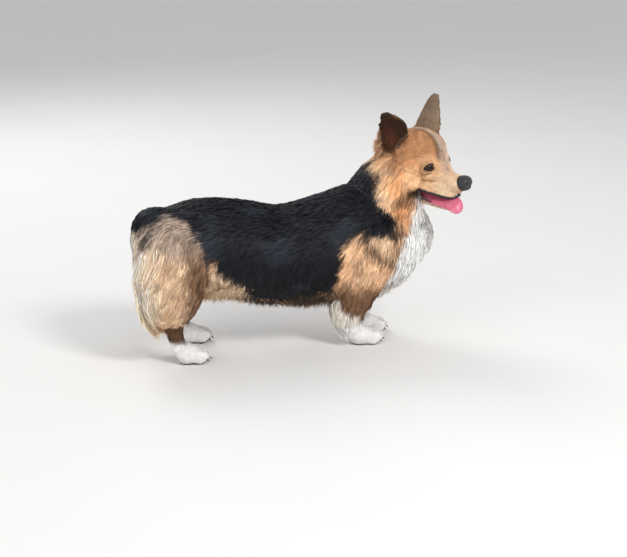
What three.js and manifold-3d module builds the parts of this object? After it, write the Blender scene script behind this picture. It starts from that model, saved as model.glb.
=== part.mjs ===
// A life-size standing Pembroke Welsh corgi with a long, fluffy coat, mouth open and tongue out.
// Millimetres, +X towards the chest, +Y to the dog's left, +Z up, floor at z = 0.
import * as THREE from "three";
import { LoftGeometry } from "three/addons/geometries/LoftGeometry.js";
import { mergeVertices } from "three/addons/utils/BufferGeometryUtils.js";
import Module from "manifold-3d";

const wasm = await Module();
wasm.setup();

// Driving dimensions
const CENTRE_X = 20.5; // middle of the whole dog along X, in the dog's own measuring frame
const CENTRE_Y = 1; // and along Y
const GAP = 0.3; // between nodes that touch
const HEAD_AT = [264, -15, 335]; // middle of the skull
const HEAD_YAW = -55; // degrees, negative turns the head to the dog's right
const HEAD_ROLL = 4; // degrees, lifts the left ear
const FORE_STRIDE = 33; // the left fore foot stands this far ahead of the right one
const HIND_STRIDE = 33;
const FORE_TRACK = 36; // half the distance between the fore feet
const HIND_TRACK = 62;
const EYE_RADIUS = 10;

const MATERIAL = {
  black: finish(0x1c1b1e, 0.62),
  tan: finish(0xb47a4a, 0.7),
  cream: finish(0xd9c2a3, 0.72),
  white: finish(0xe9e6e1, 0.72),
  nose: finish(0x17171a, 0.35),
  eye: finish(0x1b0f08, 0.08),
  tongue: finish(0xd0627c, 0.4),
};

function finish(color, roughness) {
  return new THREE.MeshStandardMaterial({ color, roughness, metalness: 0 });
}

// Seeded random numbers from 0 to 1, so that every build draws the same coat
function seeded(seed) {
  let state = seed;
  return () => {
    state = (state + 0x6d2b79f5) | 0;
    let t = Math.imul(state ^ (state >>> 15), 1 | state);
    t = (t + Math.imul(t ^ (t >>> 7), 61 | t)) ^ t;
    return ((t ^ (t >>> 14)) >>> 0) / 4294967296;
  };
}

const vec = (x, y, z) => new THREE.Vector3(x, y, z);
const mix = THREE.MathUtils.lerp;

// A form is a smooth body of oval rings carried along a line.
// Each station is [x, y, z, half width, half height above, half height below].
// round is 1 for an oval ring, and less for a squarer one.
class Form {
  constructor(
    stations,
    { sides = 16, rings = 12, across = vec(0, 1, 0), matrix = null, round = 1 } = {},
  ) {
    Object.assign(this, { sides, rings, across, matrix, round });
    const curve = (points) => new THREE.CatmullRomCurve3(points, false, "catmullrom", 0.5);
    this.line = curve(stations.map((s) => vec(s[0], s[1], s[2])));
    this.size = curve(stations.map((s) => vec(s[3], s[4], s[5] ?? s[4])));
  }

  // The point on the surface at v along the line and u round the ring, from the left side over the top
  at(v, u, grow = 0) {
    const t = THREE.MathUtils.clamp(v, 0, 1);
    const along = this.line.getTangent(t);
    const side = this.across.clone().addScaledVector(along, -this.across.dot(along)).normalize();
    const up = along.clone().cross(side);
    const size = this.size.getPoint(t);
    const angle = u * 2 * Math.PI;
    const squared = (value) => Math.sign(value) * Math.abs(value) ** this.round;
    const height = Math.sin(angle) > 0 ? size.y : size.z;
    const point = this.line.getPoint(t);
    point.addScaledVector(side, (size.x + grow) * squared(Math.cos(angle)));
    point.addScaledVector(up, (height + grow) * squared(Math.sin(angle)));
    if (t === 0) point.addScaledVector(along, -grow);
    if (t === 1) point.addScaledVector(along, grow);
    return this.matrix ? point.applyMatrix4(this.matrix) : point;
  }

  normal(v, u) {
    const step = 0.01;
    const round = this.at(v, u + step).sub(this.at(v, u - step));
    const along = this.at(v + step, u).sub(this.at(v - step, u));
    return round.cross(along).normalize();
  }

  geometry(grow) {
    const sections = [];
    for (let i = 0; i <= this.rings; i++) {
      const ring = [];
      for (let j = 0; j < this.sides; j++) ring.push(this.at(i / this.rings, j / this.sides, grow));
      sections.push(ring);
    }
    return new LoftGeometry(sections, { capStart: true, capEnd: true });
  }

  solid(grow = 0) {
    return solidOf(this.geometry(grow));
  }
}

function solidOf(geometry) {
  const bare = new THREE.BufferGeometry()
    .setAttribute("position", geometry.getAttribute("position"))
    .setIndex(geometry.index);
  const merged = mergeVertices(bare, 1e-3);
  const corners = [];
  for (let i = 0; i < merged.index.count; i += 3) {
    const [a, b, c] = [0, 1, 2].map((k) => merged.index.getX(i + k));
    if (a !== b && b !== c && c !== a) corners.push(a, b, c);
  }
  const mesh = (list) =>
    new wasm.Mesh({
      numProp: 3,
      vertProperties: new Float32Array(merged.attributes.position.array),
      triVerts: new Uint32Array(list),
    });
  const made = new wasm.Manifold(mesh(corners));
  if (made.volume() > 0) return made;
  for (let i = 0; i < corners.length; i += 3) [corners[i + 1], corners[i + 2]] = [corners[i + 2], corners[i + 1]];
  return new wasm.Manifold(mesh(corners));
}

// A ball, stretched to its three half sizes
function ball(centre, sizes, matrix = null, across = 14) {
  const place = new THREE.Matrix4().makeTranslation(...centre).scale(vec(...sizes));
  return {
    solid(grow = 0) {
      const share = sizes.map((s) => (s + grow) / s);
      const sphere = new THREE.SphereGeometry(1, across, Math.round(across / 2) + 1).scale(...share);
      sphere.applyMatrix4(place);
      if (matrix) sphere.applyMatrix4(matrix);
      return solidOf(sphere);
    },
  };
}

// A flat, tapered lock of hair: it leaves its root inside the body, arches over and ends in a point.
// lift is how far it arches and stand how far its tip stays off the body, as shares of its length.
// Under the body the tip hangs further off by the share droop.
class Lock {
  constructor({ root, out, lie, length, width, lift = 0.26, stand = 0.06, droop = 0, sink = 8 }) {
    const flat = lie.clone().addScaledVector(out, -lie.dot(out)).normalize();
    const from = (along, above) => root.clone().addScaledVector(flat, along).addScaledVector(out, above);
    this.line = new THREE.QuadraticBezierCurve3(
      from(-0.2 * sink, -sink),
      from(0.42 * length, lift * length),
      from(length, (stand + droop * Math.max(0, -out.z)) * length),
    );
    Object.assign(this, { out, width });
  }

  solid(grow = 0) {
    const shares = [0.85, 1, 0.68, 0.05];
    const sections = shares.map((share, i) => {
      const t = i / (shares.length - 1);
      const along = this.line.getTangent(t);
      const side = along.clone().cross(this.out).normalize();
      const up = side.clone().cross(along).normalize();
      const half = 0.5 * this.width * share + grow;
      const thick = 0.11 * this.width * share + 0.3 + grow;
      const corner = (across, above) =>
        this.line.getPoint(t).addScaledVector(side, across).addScaledVector(up, above);
      return [corner(-half, 0), corner(0, thick), corner(half, 0), corner(0, -thick)];
    });
    return solidOf(new LoftGeometry(sections, { capStart: true, capEnd: true }));
  }
}

// Rows of locks set on a form, v along it and u round it. Every second row is set between the last.
// lie(out) gives the way the hair points where the body faces out.
function locksOn(form, { v, u, rows, each, length, width, lie, seed, ...rest }) {
  const random = seeded(seed);
  const vary = (share) => mix(1 - share, 1 + share, random());
  const made = [];
  for (let i = 0; i < rows; i++) {
    for (let j = 0; j < each; j++) {
      const stagger = 0.25 * (-1) ** i;
      const along = mix(v[0], v[1], rows > 1 ? (i + 0.25 * (random() - 0.5)) / (rows - 1) : 0.5);
      const round = mix(u[0], u[1], (j + 0.5 + stagger + 0.3 * (random() - 0.5)) / each);
      const out = form.normal(along, round);
      const lock = { root: form.at(along, round), out, lie: lie(out) };
      made.push(new Lock({ ...lock, length: length * vary(0.15), width: width * vary(0.15), ...rest }));
    }
  }
  return made;
}

const toward = (...parts) => vec(...parts).normalize();

// Torso, from the rump to the chest
const torso = new Form(
  [
    [-266, 0, 232, 12, 12, 14],
    [-260, 0, 230, 40, 28, 34],
    [-242, 0, 222, 64, 50, 56],
    [-212, 0, 206, 82, 73, 72],
    [-170, 0, 196, 88, 87, 84],
    [-120, 0, 193, 90, 89, 86],
    [-70, 0, 189, 93, 85, 88],
    [-20, 0, 180, 96, 82, 90],
    [30, 0, 178, 99, 88, 95],
    [80, 0, 180, 100, 98, 98],
    [130, 0, 184, 98, 104, 100],
    [172, 0, 188, 92, 98, 98],
    [206, 0, 192, 78, 82, 88],
    [234, 0, 194, 62, 66, 70],
    [254, 0, 194, 46, 50, 52],
    [270, 0, 194, 27, 32, 34],
    [278, 0, 194, 8, 9, 9],
  ],
  { sides: 18, rings: 18 },
);

// Neck, from inside the shoulders to the back of the skull
const neck = new Form(
  [
    [142, 0, 196, 40, 36, 36],
    [158, 2, 222, 64, 60, 58],
    [178, 4, 254, 70, 64, 60],
    [196, 6, 288, 66, 58, 53],
    [213, 9, 318, 57, 47, 42],
    [225, 10, 342, 43, 34, 31],
    [231, 10, 354, 20, 16, 16],
  ],
  { sides: 14, rings: 7 },
);

// The head's own frame: +X to the nose, +Y to its left, origin in the middle of the skull
const headFrame = new THREE.Matrix4()
  .makeTranslation(...HEAD_AT)
  .multiply(new THREE.Matrix4().makeRotationZ(THREE.MathUtils.degToRad(HEAD_YAW)))
  .multiply(new THREE.Matrix4().makeRotationX(THREE.MathUtils.degToRad(HEAD_ROLL)));
const inHead = { matrix: headFrame };

const skull = new Form(
  [
    [-66, 0, -8, 22, 20, 24],
    [-58, 0, -8, 44, 40, 44],
    [-38, 0, -8, 60, 54, 54],
    [-12, 0, -7, 62, 57, 53],
    [8, 0, -9, 54, 53, 49],
    [22, 0, -14, 40, 46, 43],
    [34, 0, -20, 30, 34, 39],
    [46, 0, -29, 25, 25, 33],
    [60, 0, -37, 22, 19, 27],
    [76, 0, -41, 19.5, 17, 22],
    [88, 0, -43, 17, 16, 18],
    [95, 0, -44, 12, 12, 13],
    [97, 0, -44, 5, 5, 6],
  ],
  { sides: 18, rings: 18, round: 0.88, ...inHead },
);

const jaw = new Form(
  [
    [-12, 0, -62, 20, 8, 12],
    [2, 0, -66, 34, 9, 13],
    [20, 0, -71, 28, 6.5, 10],
    [38, 0, -77, 21, 5.5, 8],
    [56, 0, -81.5, 16.5, 5, 7],
    [70, 0, -83, 13.5, 4.5, 6.5],
    [79, 0, -83, 9, 4, 5],
    [83, 0, -82.5, 4, 2, 2.5],
  ],
  { sides: 14, rings: 10, ...inHead },
);

const nose = new Form(
  [
    [84, 0, -34, 9, 8, 12],
    [90, 0, -36, 13.5, 11, 14],
    [97, 0, -38, 13, 11, 12],
    [102, 0, -39, 8, 8, 8],
    [103, 0, -39, 4, 4, 4],
  ],
  { sides: 12, rings: 6, round: 0.9, ...inHead },
);
const nostrils = [-1, 1].map((s) => ball([101, s * 6.4, -39], [5, 2.6, 3], headFrame, 7));

// The tongue lies in the jaw and hangs over its right edge near the chin
const tongue = new Form(
  [
    [4, -6, -56, 8, 2, 2],
    [16, -9, -59, 18, 3, 3],
    [36, -11, -66, 19, 3.2, 3.2],
    [56, -13, -70, 18.5, 3.4, 3.4],
    [72, -15, -71, 17, 3.4, 3.4],
    [84, -17, -75, 15, 3.2, 3.2],
    [88, -18, -82, 13, 3, 3],
    [86, -19, -88, 9, 2.6, 2.6],
    [84, -19, -91, 3, 1.5, 1.5],
  ],
  { sides: 8, rings: 12, across: toward(0, 0.92, 0.38), ...inHead },
);

// Ears: a broad, round-tipped leaf that faces sideways, with a cup hollowed out of its open face
function ear(side) {
  const leaf = (inset, shift) =>
    new Form(
      [
        [-21, side * (36 + shift), 4, 24 - inset, 14 - inset],
        [-23, side * (45 + shift), 22, 30 - inset, 16 - inset],
        [-23, side * (54 + shift), 42, 29.5 - inset, 14 - inset],
        [-24, side * (62 + shift), 60, 25 - inset, 11 - inset],
        [-26, side * (70 + shift), 78, 17.5 - inset, 7.5 - 0.9 * inset],
        [-29, side * (77 + shift), 92, 8.5 - 0.8 * inset, 4.5 - 0.6 * inset],
        [-31, side * (80 + shift), 98, 3 - 0.4 * inset, 2.6 - 0.4 * inset],
      ],
      { sides: 10, rings: 9, across: toward(0.99, -side * 0.14, 0), ...inHead },
    );
  return { outer: leaf(0, 0), cup: leaf(3, 6) };
}

const eyePlace = (s) => [28, s * 27.5, -6.5];
const eyes = [-1, 1].map((s) => ball(eyePlace(s), [EYE_RADIUS, EYE_RADIUS, EYE_RADIUS], headFrame, 12));

// The lids are two rolls of skin that follow the ball over and under the opening
function lid(side, way) {
  const [x, y, z] = eyePlace(side);
  const stations = [];
  for (let i = 0; i <= 6; i++) {
    const turn = mix(-1.1, 1.1, i / 6);
    const open = 0.66 * way * Math.cos((turn * Math.PI) / 2 / 1.25);
    const azimuth = THREE.MathUtils.degToRad(42) + turn;
    const reach = EYE_RADIUS + 0.4;
    const thick = mix(1.2, 2.4, Math.cos((turn * Math.PI) / 2));
    stations.push([
      x + reach * Math.cos(azimuth) * Math.cos(open),
      y + side * reach * Math.sin(azimuth) * Math.cos(open),
      z + reach * Math.sin(open),
      thick,
      thick,
    ]);
  }
  return new Form(stations, { sides: 6, rings: 6, across: vec(0, 0, 1), ...inHead });
}
const lids = [-1, 1].flatMap((s) => [lid(s, -1), lid(s, 1)]);

// The lips: a roll along each side of the upper jaw, from the corner of the mouth to the nose
const lips = [-1, 1].map(
  (s) =>
    new Form(
      [
        [8, s * 38, -46, 3, 8, 5],
        [20, s * 33, -52, 4, 14, 6],
        [36, s * 24.5, -57, 4.5, 18, 6],
        [54, s * 19, -60, 4.5, 18, 6],
        [70, s * 15.5, -59, 4.5, 15, 6],
        [81, s * 11, -56, 4, 10, 6],
        [87, s * 7.5, -54, 3, 5, 4],
      ],
      { sides: 6, rings: 8, ...inHead },
    ),
);

// Cheeks, full of hair, under and behind the eyes
const cheeks = [-1, 1].map(
  (s) =>
    new Form(
      [
        [14, s * 30, -28, 8, 10],
        [4, s * 38, -32, 20, 22],
        [-16, s * 46, -36, 24, 30],
        [-36, s * 46, -42, 22, 30],
        [-50, s * 42, -46, 10, 14],
      ],
      { sides: 10, rings: 6, ...inHead },
    ),
);

// Limbs: stations in the dog's frame for the right side, mirrored for the left
function limb(stations, { side, forward, track, ...rest }) {
  return new Form(
    stations.map(([x, y, z, ...sizes]) => [x + forward, side * (track + y), z, ...sizes]),
    rest,
  );
}

function foreLeg(side) {
  const forward = side > 0 ? FORE_STRIDE : 0;
  const common = { side, forward, track: FORE_TRACK };
  const upper = limb(
    [
      [154, 22, 232, 12, 16],
      [156, 34, 214, 30, 34, 34],
      [152, 36, 186, 37, 42, 46],
      [144, 36, 154, 37, 40, 48],
      [136, 31, 126, 33, 34, 42],
      [128, 23, 102, 27, 28, 32],
      [124, 17, 84, 20, 22, 24],
    ],
    { ...common, sides: 12, rings: 9 },
  );
  const lower = limb(
    [
      [126, 16, 104, 12, 14, 16],
      [124, 13, 90, 22, 25, 35],
      [122, 8, 72, 21, 26, 37],
      [124, 4, 52, 19, 22, 30],
      [130, 1, 34, 17, 18, 20],
      [133, 0, 22, 12, 13],
    ],
    { ...common, sides: 10, rings: 7 },
  );
  return { upper, lower, paw: paw(side, 140 + forward, FORE_TRACK, 1) };
}

function hindLeg(side) {
  const forward = side > 0 ? HIND_STRIDE : 0;
  const common = { side, forward: 0.8 * forward, track: HIND_TRACK };
  const upper = limb(
    [
      [-222, -12, 248, 10, 18],
      [-222, -2, 234, 28, 42, 42],
      [-222, 6, 210, 35, 56, 54],
      [-221, 10, 180, 38, 61, 61],
      [-221, 12, 146, 36, 57, 59],
      [-223, 11, 118, 31, 45, 52],
      [-227, 8, 94, 25, 32, 40],
      [-231, 5, 78, 16, 20, 24],
      [-232, 4, 70, 8, 9],
    ],
    { ...common, sides: 14, rings: 10 },
  );
  const lower = limb(
    [
      [-222, 6, 96, 12, 16],
      [-220, 4, 80, 19, 26, 20],
      [-217, 2, 60, 16, 19],
      [-213, 0, 42, 14, 17],
      [-208, 0, 28, 13, 16],
      [-202, 0, 18, 10, 12],
    ].map(([x, ...rest]) => [x + 0.2 * forward, ...rest]),
    { ...common, sides: 10, rings: 7 },
  );
  return { upper, lower, paw: paw(side, -190 + forward, HIND_TRACK, 0.92) };
}

// A paw: the pad, four arched toes and their claws, cut flat at the floor
function paw(side, x, track, scale) {
  const y = side * track;
  const palm = new Form(
    [
      [x - 26 * scale, y, 12, 10 * scale, 9, 12],
      [x - 20 * scale, y, 15, 20 * scale, 15, 18],
      [x - 4 * scale, y, 18, 25 * scale, 19, 22],
      [x + 10 * scale, y, 16, 22 * scale, 14, 20],
      [x + 18 * scale, y, 13, 12 * scale, 8, 12],
    ],
    { sides: 8, rings: 4 },
  );
  const toes = [];
  const claws = [];
  for (let i = 0; i < 4; i++) {
    const spread = i - 1.5;
    const inner = Math.abs(spread) < 1;
    const reach = (inner ? 38 : 29) * scale;
    const toeY = y + spread * 12 * scale;
    toes.push(
      new Form(
        [
          [x, y + spread * 9 * scale, 18, 6, 7, 8],
          [x + 0.35 * reach, toeY, 18, 8.2 * scale, 10, 14],
          [x + 0.8 * reach, toeY, 13, 8.4 * scale, 10, 16],
          [x + reach, toeY, 9, 5 * scale, 6, 8],
        ],
        { sides: 6, rings: 3 },
      ),
    );
    claws.push(
      new Form(
        [
          [x + reach - 5, toeY, 10.5, 3, 3.4],
          [x + reach + 6, toeY, 4, 0.6, 0.6],
        ],
        { sides: 4, rings: 1 },
      ),
    );
  }
  return { palm, toes, claws };
}

// Everything below the floor, taken off the paws so that they stand flat
function cutFlat(solid) {
  const below = new THREE.BoxGeometry(2000, 2000, 200).translate(0, 0, -100);
  return solid.subtract(solidOf(below));
}

const tail = new Form(
  [
    [-226, 0, 250, 16, 16],
    [-242, 0, 256, 24, 19],
    [-258, 0, 253, 25, 19],
    [-270, 0, 242, 21, 16],
    [-277, 0, 226, 14, 12],
    [-279, 0, 212, 5, 5],
  ],
  { sides: 10, rings: 7 },
);

// The long coat, node by node, and the way it lies in each place
const headWay = (x, y, z) => vec(x, y, z).transformDirection(headFrame);
const coat = {
  ruff: locksOn(neck, {
    v: [0.84, 0.3],
    u: [0, 1],
    rows: 4,
    each: 10,
    length: 56,
    width: 25,
    lie: (out) => vec(-0.45 + 0.5 * out.x, 0, -1),
    seed: 11,
  }),
  bib: locksOn(torso, {
    v: [0.98, 0.85],
    u: [0, 1],
    rows: 3,
    each: 7,
    length: 52,
    width: 27,
    lie: () => vec(-0.2, 0, -1),
    seed: 23,
  }),
  fringe: locksOn(torso, {
    v: [0.25, 0.72],
    u: [0.57, 0.93],
    rows: 6,
    each: 3,
    length: 42,
    width: 30,
    lie: (out) => vec(-0.7, 0.5 * out.y, -0.8),
    droop: 0.35,
    seed: 37,
  }),
  tail: locksOn(tail, {
    v: [0.5, 0.85],
    u: [0.02, 0.48],
    rows: 2,
    each: 2,
    length: 26,
    width: 20,
    lie: () => vec(-0.2, 0, -1),
    seed: 41,
  }),
};

function cheekLocks(side) {
  return locksOn(cheeks[side < 0 ? 0 : 1], {
    v: [0.35, 0.8],
    u: side < 0 ? [0.35, 0.75] : [0.15, -0.25],
    rows: 2,
    each: 3,
    length: 38,
    width: 18,
    lie: () => headWay(-0.75, 0.1 * side, -0.65),
    seed: 53 + side,
  });
}

function trouserLocks(thigh, side) {
  return locksOn(thigh, {
    v: [0.2, 0.84],
    u: side < 0 ? [0.5, 0.96] : [1, 0.54],
    rows: 4,
    each: 3,
    length: 58,
    width: 28,
    lie: () => vec(-0.25, 0, -1),
    seed: 67 + side,
  });
}

function featherLocks(arm, side) {
  return locksOn(arm, {
    v: [0.45, 0.85],
    u: side < 0 ? [0.5, 0.9] : [1, 0.6],
    rows: 3,
    each: 2,
    length: 42,
    width: 18,
    lie: () => vec(-0.3, 0, -1),
    seed: 79 + side,
  });
}

// Joins the pieces of one node, cuts it clear of what was made before, and keeps its largest closed body
const dog = new THREE.Group();
dog.name = "corgi";
dog.position.set(-CENTRE_X, -CENTRE_Y, 0);
const headGroup = new THREE.Group();
headGroup.applyMatrix4(headFrame);
dog.add(headGroup);

const total = (pieces, grow = 0) =>
  pieces.map((p) => p.solid(grow)).reduce((sum, s) => sum.add(s));

function largest(solid) {
  return solid.decompose().reduce((best, s) => (s.volume() > best.volume() ? s : best));
}

function meshOf(name, solid, material, group) {
  const { numProp, vertProperties, triVerts, numVert } = solid.getMesh();
  const positions = new Float32Array(numVert * 3);
  for (let i = 0; i < numVert; i++)
    positions.set(vertProperties.subarray(i * numProp, i * numProp + 3), i * 3);
  const geometry = new THREE.BufferGeometry()
    .setAttribute("position", new THREE.BufferAttribute(positions, 3))
    .setIndex(new THREE.BufferAttribute(triVerts, 1));
  if (group === headGroup) geometry.applyMatrix4(headFrame.clone().invert());
  geometry.computeBoundingBox();
  const middle = geometry.boundingBox.getCenter(vec(0, 0, 0));
  geometry.translate(-middle.x, -middle.y, -middle.z);
  geometry.computeVertexNormals();
  const mesh = new THREE.Mesh(geometry, material);
  mesh.name = name;
  mesh.position.copy(middle);
  group.add(mesh);
  return mesh;
}

// Nodes are made in order; each is cut clear of the earlier ones that it touches
const made = new Map();
function node(name, pieces, { clearOf = [], less = [], material, group = dog, flat = false }) {
  let solid = total(pieces);
  made.set(name, solid.add(total(pieces, GAP)));
  for (const other of clearOf) solid = solid.subtract(made.get(other));
  for (const form of less) solid = solid.subtract(form.solid(0));
  if (flat) solid = cutFlat(solid);
  meshOf(name, largest(solid), material, group);
}

node("torso", [torso, ...coat.bib, ...coat.fringe], { material: MATERIAL.black });
["right", "left"].forEach((name, i) => {
  node(`eye_${name}`, [eyes[i]], { material: MATERIAL.eye, group: headGroup });
});
node("head", [skull, ...lids, ...lips, ...cheeks, ...cheekLocks(-1), ...cheekLocks(1)], {
  clearOf: ["eye_right", "eye_left", "torso"],
  material: MATERIAL.tan,
  group: headGroup,
});
node("nose", [nose], { clearOf: ["head"], less: nostrils, material: MATERIAL.nose, group: headGroup });
node("jaw", [jaw], { clearOf: ["head", "torso"], material: MATERIAL.cream, group: headGroup });
node("tongue", [tongue], { clearOf: ["head", "jaw"], material: MATERIAL.tongue, group: headGroup });
node("neck", [neck, ...coat.ruff], { clearOf: ["torso", "head", "jaw"], material: MATERIAL.tan });
[-1, 1].forEach((side) => {
  const name = side < 0 ? "right" : "left";
  const { outer, cup } = ear(side);
  node(`ear_${name}`, [outer], {
    clearOf: ["head", "neck"],
    less: [cup],
    material: MATERIAL.tan,
    group: headGroup,
  });
});
node("tail", [tail, ...coat.tail], { clearOf: ["torso"], material: MATERIAL.black });
[-1, 1].forEach((side) => {
  const name = side < 0 ? "right" : "left";
  const fore = foreLeg(side);
  const hind = hindLeg(side);
  node(`fore_arm_${name}`, [fore.upper, ...featherLocks(fore.upper, side)], { clearOf: ["torso", "neck"], material: MATERIAL.tan });
  node(`fore_leg_${name}`, [fore.lower], {
    clearOf: ["torso", `fore_arm_${name}`],
    material: MATERIAL.tan,
    flat: true,
  });
  node(`fore_paw_${name}`, [fore.paw.palm, ...fore.paw.toes, ...fore.paw.claws], {
    clearOf: [`fore_leg_${name}`],
    material: MATERIAL.white,
    flat: true,
  });
  node(`thigh_${name}`, [hind.upper, ...trouserLocks(hind.upper, side)], { clearOf: ["torso", "tail"], material: MATERIAL.tan });
  node(`hock_${name}`, [hind.lower], {
    clearOf: ["torso", `thigh_${name}`],
    material: MATERIAL.tan,
    flat: true,
  });
  node(`hind_paw_${name}`, [hind.paw.palm, ...hind.paw.toes, ...hind.paw.claws], {
    clearOf: [`hock_${name}`],
    material: MATERIAL.white,
    flat: true,
  });
});

export default dog;
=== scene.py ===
"""A long-coated tricolour Pembroke Welsh corgi, life size, standing with its head turned and its mouth open."""

import math

import bpy
import numpy as np
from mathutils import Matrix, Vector
from mathutils.bvhtree import BVHTree
from mathutils.kdtree import KDTree


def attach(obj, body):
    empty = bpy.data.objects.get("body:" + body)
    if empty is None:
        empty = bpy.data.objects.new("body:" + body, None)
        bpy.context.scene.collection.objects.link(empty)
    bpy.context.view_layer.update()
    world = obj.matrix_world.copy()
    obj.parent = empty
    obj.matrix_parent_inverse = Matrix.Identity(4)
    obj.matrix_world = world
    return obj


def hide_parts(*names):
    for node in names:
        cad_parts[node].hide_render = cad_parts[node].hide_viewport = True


bl_info = {
    "name": "Standing corgi",
    "version": (1, 0, 0),
    "blender": (4, 5, 0),
    "location": "View3D > Sidebar > Corgi",
    "description": "Builds a long-coated corgi: skin, coat, eyes, nose, mouth and claws",
    "category": "Add Mesh",
}

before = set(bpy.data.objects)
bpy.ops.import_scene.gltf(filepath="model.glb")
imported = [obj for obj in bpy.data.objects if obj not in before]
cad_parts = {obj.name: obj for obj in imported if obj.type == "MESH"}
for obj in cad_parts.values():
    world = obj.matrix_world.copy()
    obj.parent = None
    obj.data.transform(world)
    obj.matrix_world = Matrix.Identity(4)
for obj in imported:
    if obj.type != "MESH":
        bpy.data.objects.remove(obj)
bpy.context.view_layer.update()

# The dog's own measuring frame is in millimetres. This is the middle of its footprint there.
CENTRE = np.array([20.5, 1.0, 0.0])
HEAD_AT = np.array([264.0, -15.0, 335.0])
HEAD_YAW = math.radians(-55)
HEAD_ROLL = math.radians(4)
# How far the left feet stand ahead of the right ones, and how far the feet are from the middle line.
FORE_STRIDE = 33.0
HIND_STRIDE = 33.0
FORE_TRACK = 36.0
HIND_TRACK = 62.0
# Where the right paws' palms are along the dog, and the hind paws' size beside the fore ones.
FORE_PAW_AT = 140.0
HIND_PAW_AT = -190.0
HIND_PAW_SCALE = 0.92
# The toes' spacing, and how far the outer and the middle ones reach ahead of the palm.
TOE_PITCH = 12.4
TOE_REACH = (29, 38, 38, 29)
# The left eye's middle in the head frame. The lids end LID_REACH from its axis, and nearer above and below it.
EYE_AT = (27.0, 27.0, -8.0)
EYE_RADIUS = 11.0
EYE_TURN = math.radians(30)
EYE_SLANT = math.radians(-7)
LID_REACH = 18.5
LID_FLATNESS = 0.76
SIDES = ((-1, "right"), (1, "left"))
FLESH = ["torso", "neck", "head", "jaw", "ear_right", "ear_left", "tail"] + [
    f"{part}_{side}"
    for _, side in SIDES
    for part in ("fore_arm", "fore_leg", "fore_paw", "thigh", "hock", "hind_paw")
]

# What an operator leaves for the ones after it: the skin with its coat's lie, sizes and colours.
built = {}


def unit(v):
    """Each row of v divided by its length."""
    return v / np.maximum(np.linalg.norm(v, axis=-1, keepdims=True), 1e-9)


def dot(a, b):
    """Row by row dot product, kept as a column."""
    return (a * b).sum(-1, keepdims=True)


def smooth_step(value, low, high):
    """0 below low, 1 above high, and 3t^2 - 2t^3 between."""
    t = np.clip((value - low) / (high - low), 0, 1)
    return t * t * (3 - 2 * t)


def head_matrix():
    """Turns the head's axes (+X nose, +Y its left) by the roll about X, then the yaw about Z."""
    c, s = math.cos(HEAD_YAW), math.sin(HEAD_YAW)
    yaw = np.array([[c, -s, 0], [s, c, 0], [0, 0, 1]])
    c, s = math.cos(HEAD_ROLL), math.sin(HEAD_ROLL)
    roll = np.array([[1, 0, 0], [0, c, -s], [0, s, c]])
    return yaw @ roll


HEAD_AXES = head_matrix()


def from_head(points):
    """Head frame to the dog's frame, both in millimetres."""
    return np.asarray(points, float) @ HEAD_AXES.T + HEAD_AT


def to_head(points):
    """The dog's frame to the head frame, both in millimetres."""
    return (points - HEAD_AT) @ HEAD_AXES


def metres(points):
    """The dog's frame in millimetres to the row frame in metres."""
    return (np.asarray(points, float) - CENTRE) / 1000


def millimetres(points):
    """The row frame in metres to the dog's frame in millimetres."""
    return points * 1000 + CENTRE


def waves(points, size, seed, count=7):
    """Smooth noise from -1 to 1: the mean of sines along random directions, size apart, scaled up."""
    rng = np.random.default_rng(seed)
    way = unit(rng.normal(size=(count, 3))) * (2 * math.pi / (size * rng.uniform(0.7, 1.6, (count, 1))))
    total = np.sin(points @ way.T + rng.uniform(0, 6.28, count)).sum(1)
    return np.clip(total / math.sqrt(count) * 0.9, -1, 1)


def spline(points, t, slope=False):
    """The cubic through the stations at shares t, with half the step between its neighbours as each slope."""
    points = np.asarray(points, float)
    last = len(points) - 1
    padded = np.vstack([2 * points[0] - points[1], points, 2 * points[-1] - points[-2]])
    x = np.clip(t, 0, 1) * last
    i = np.minimum(x.astype(int), last - 1)
    w = (x - i)[:, None]
    before, start, end, after = (padded[i + k] for k in range(4))
    leave, arrive = (end - before) / 2, (after - start) / 2
    if slope:
        between = (6 * w * w - 6 * w) * (start - end)
        return between + (3 * w * w - 4 * w + 1) * leave + (3 * w * w - 2 * w) * arrive
    return (
        (2 * w**3 - 3 * w**2 + 1) * start
        + (w**3 - 2 * w**2 + w) * leave
        + (3 * w**2 - 2 * w**3) * end
        + (w**3 - w**2) * arrive
    )


def rings_of(stations, rings=48, sides=40, across=(0, 1, 0), squareness=1.0, depth=0.0, in_head=False):
    """Oval rings carried along a line, as a grid of points.

    A point is the line at v, plus the side axis times half width times cos(u)^squareness, plus the up axis
    times half height above or below times sin(u)^squareness. depth draws every ring in.
    """
    table = np.array([list(s) + [s[4]] * (6 - len(s)) for s in stations], float)
    t = np.linspace(0, 1, rings + 1)
    line = spline(table[:, :3], t)
    along = unit(spline(table[:, :3], t, slope=True))
    across = np.asarray(across, float)
    side = unit(across - dot(along, across) * along)
    up = np.cross(along, side)
    half = spline(table[:, 3:], t)
    depth = np.broadcast_to(np.asarray(depth, float), (len(table),))
    inset = spline(depth[:, None], t)
    half = np.maximum(half - inset, 0.35 * half)
    angle = np.linspace(0, 2 * math.pi, sides, endpoint=False)
    squared_cos = np.sign(np.cos(angle)) * np.abs(np.cos(angle)) ** squareness
    squared_sin = np.sign(np.sin(angle)) * np.abs(np.sin(angle)) ** squareness
    height = np.where(np.sin(angle) > 0, half[:, 1:2], half[:, 2:3])
    grid = line[:, None] + side[:, None] * (half[:, :1] * squared_cos)[..., None]
    grid = grid + up[:, None] * (height * squared_sin)[..., None]
    return from_head(grid) if in_head else grid


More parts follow.
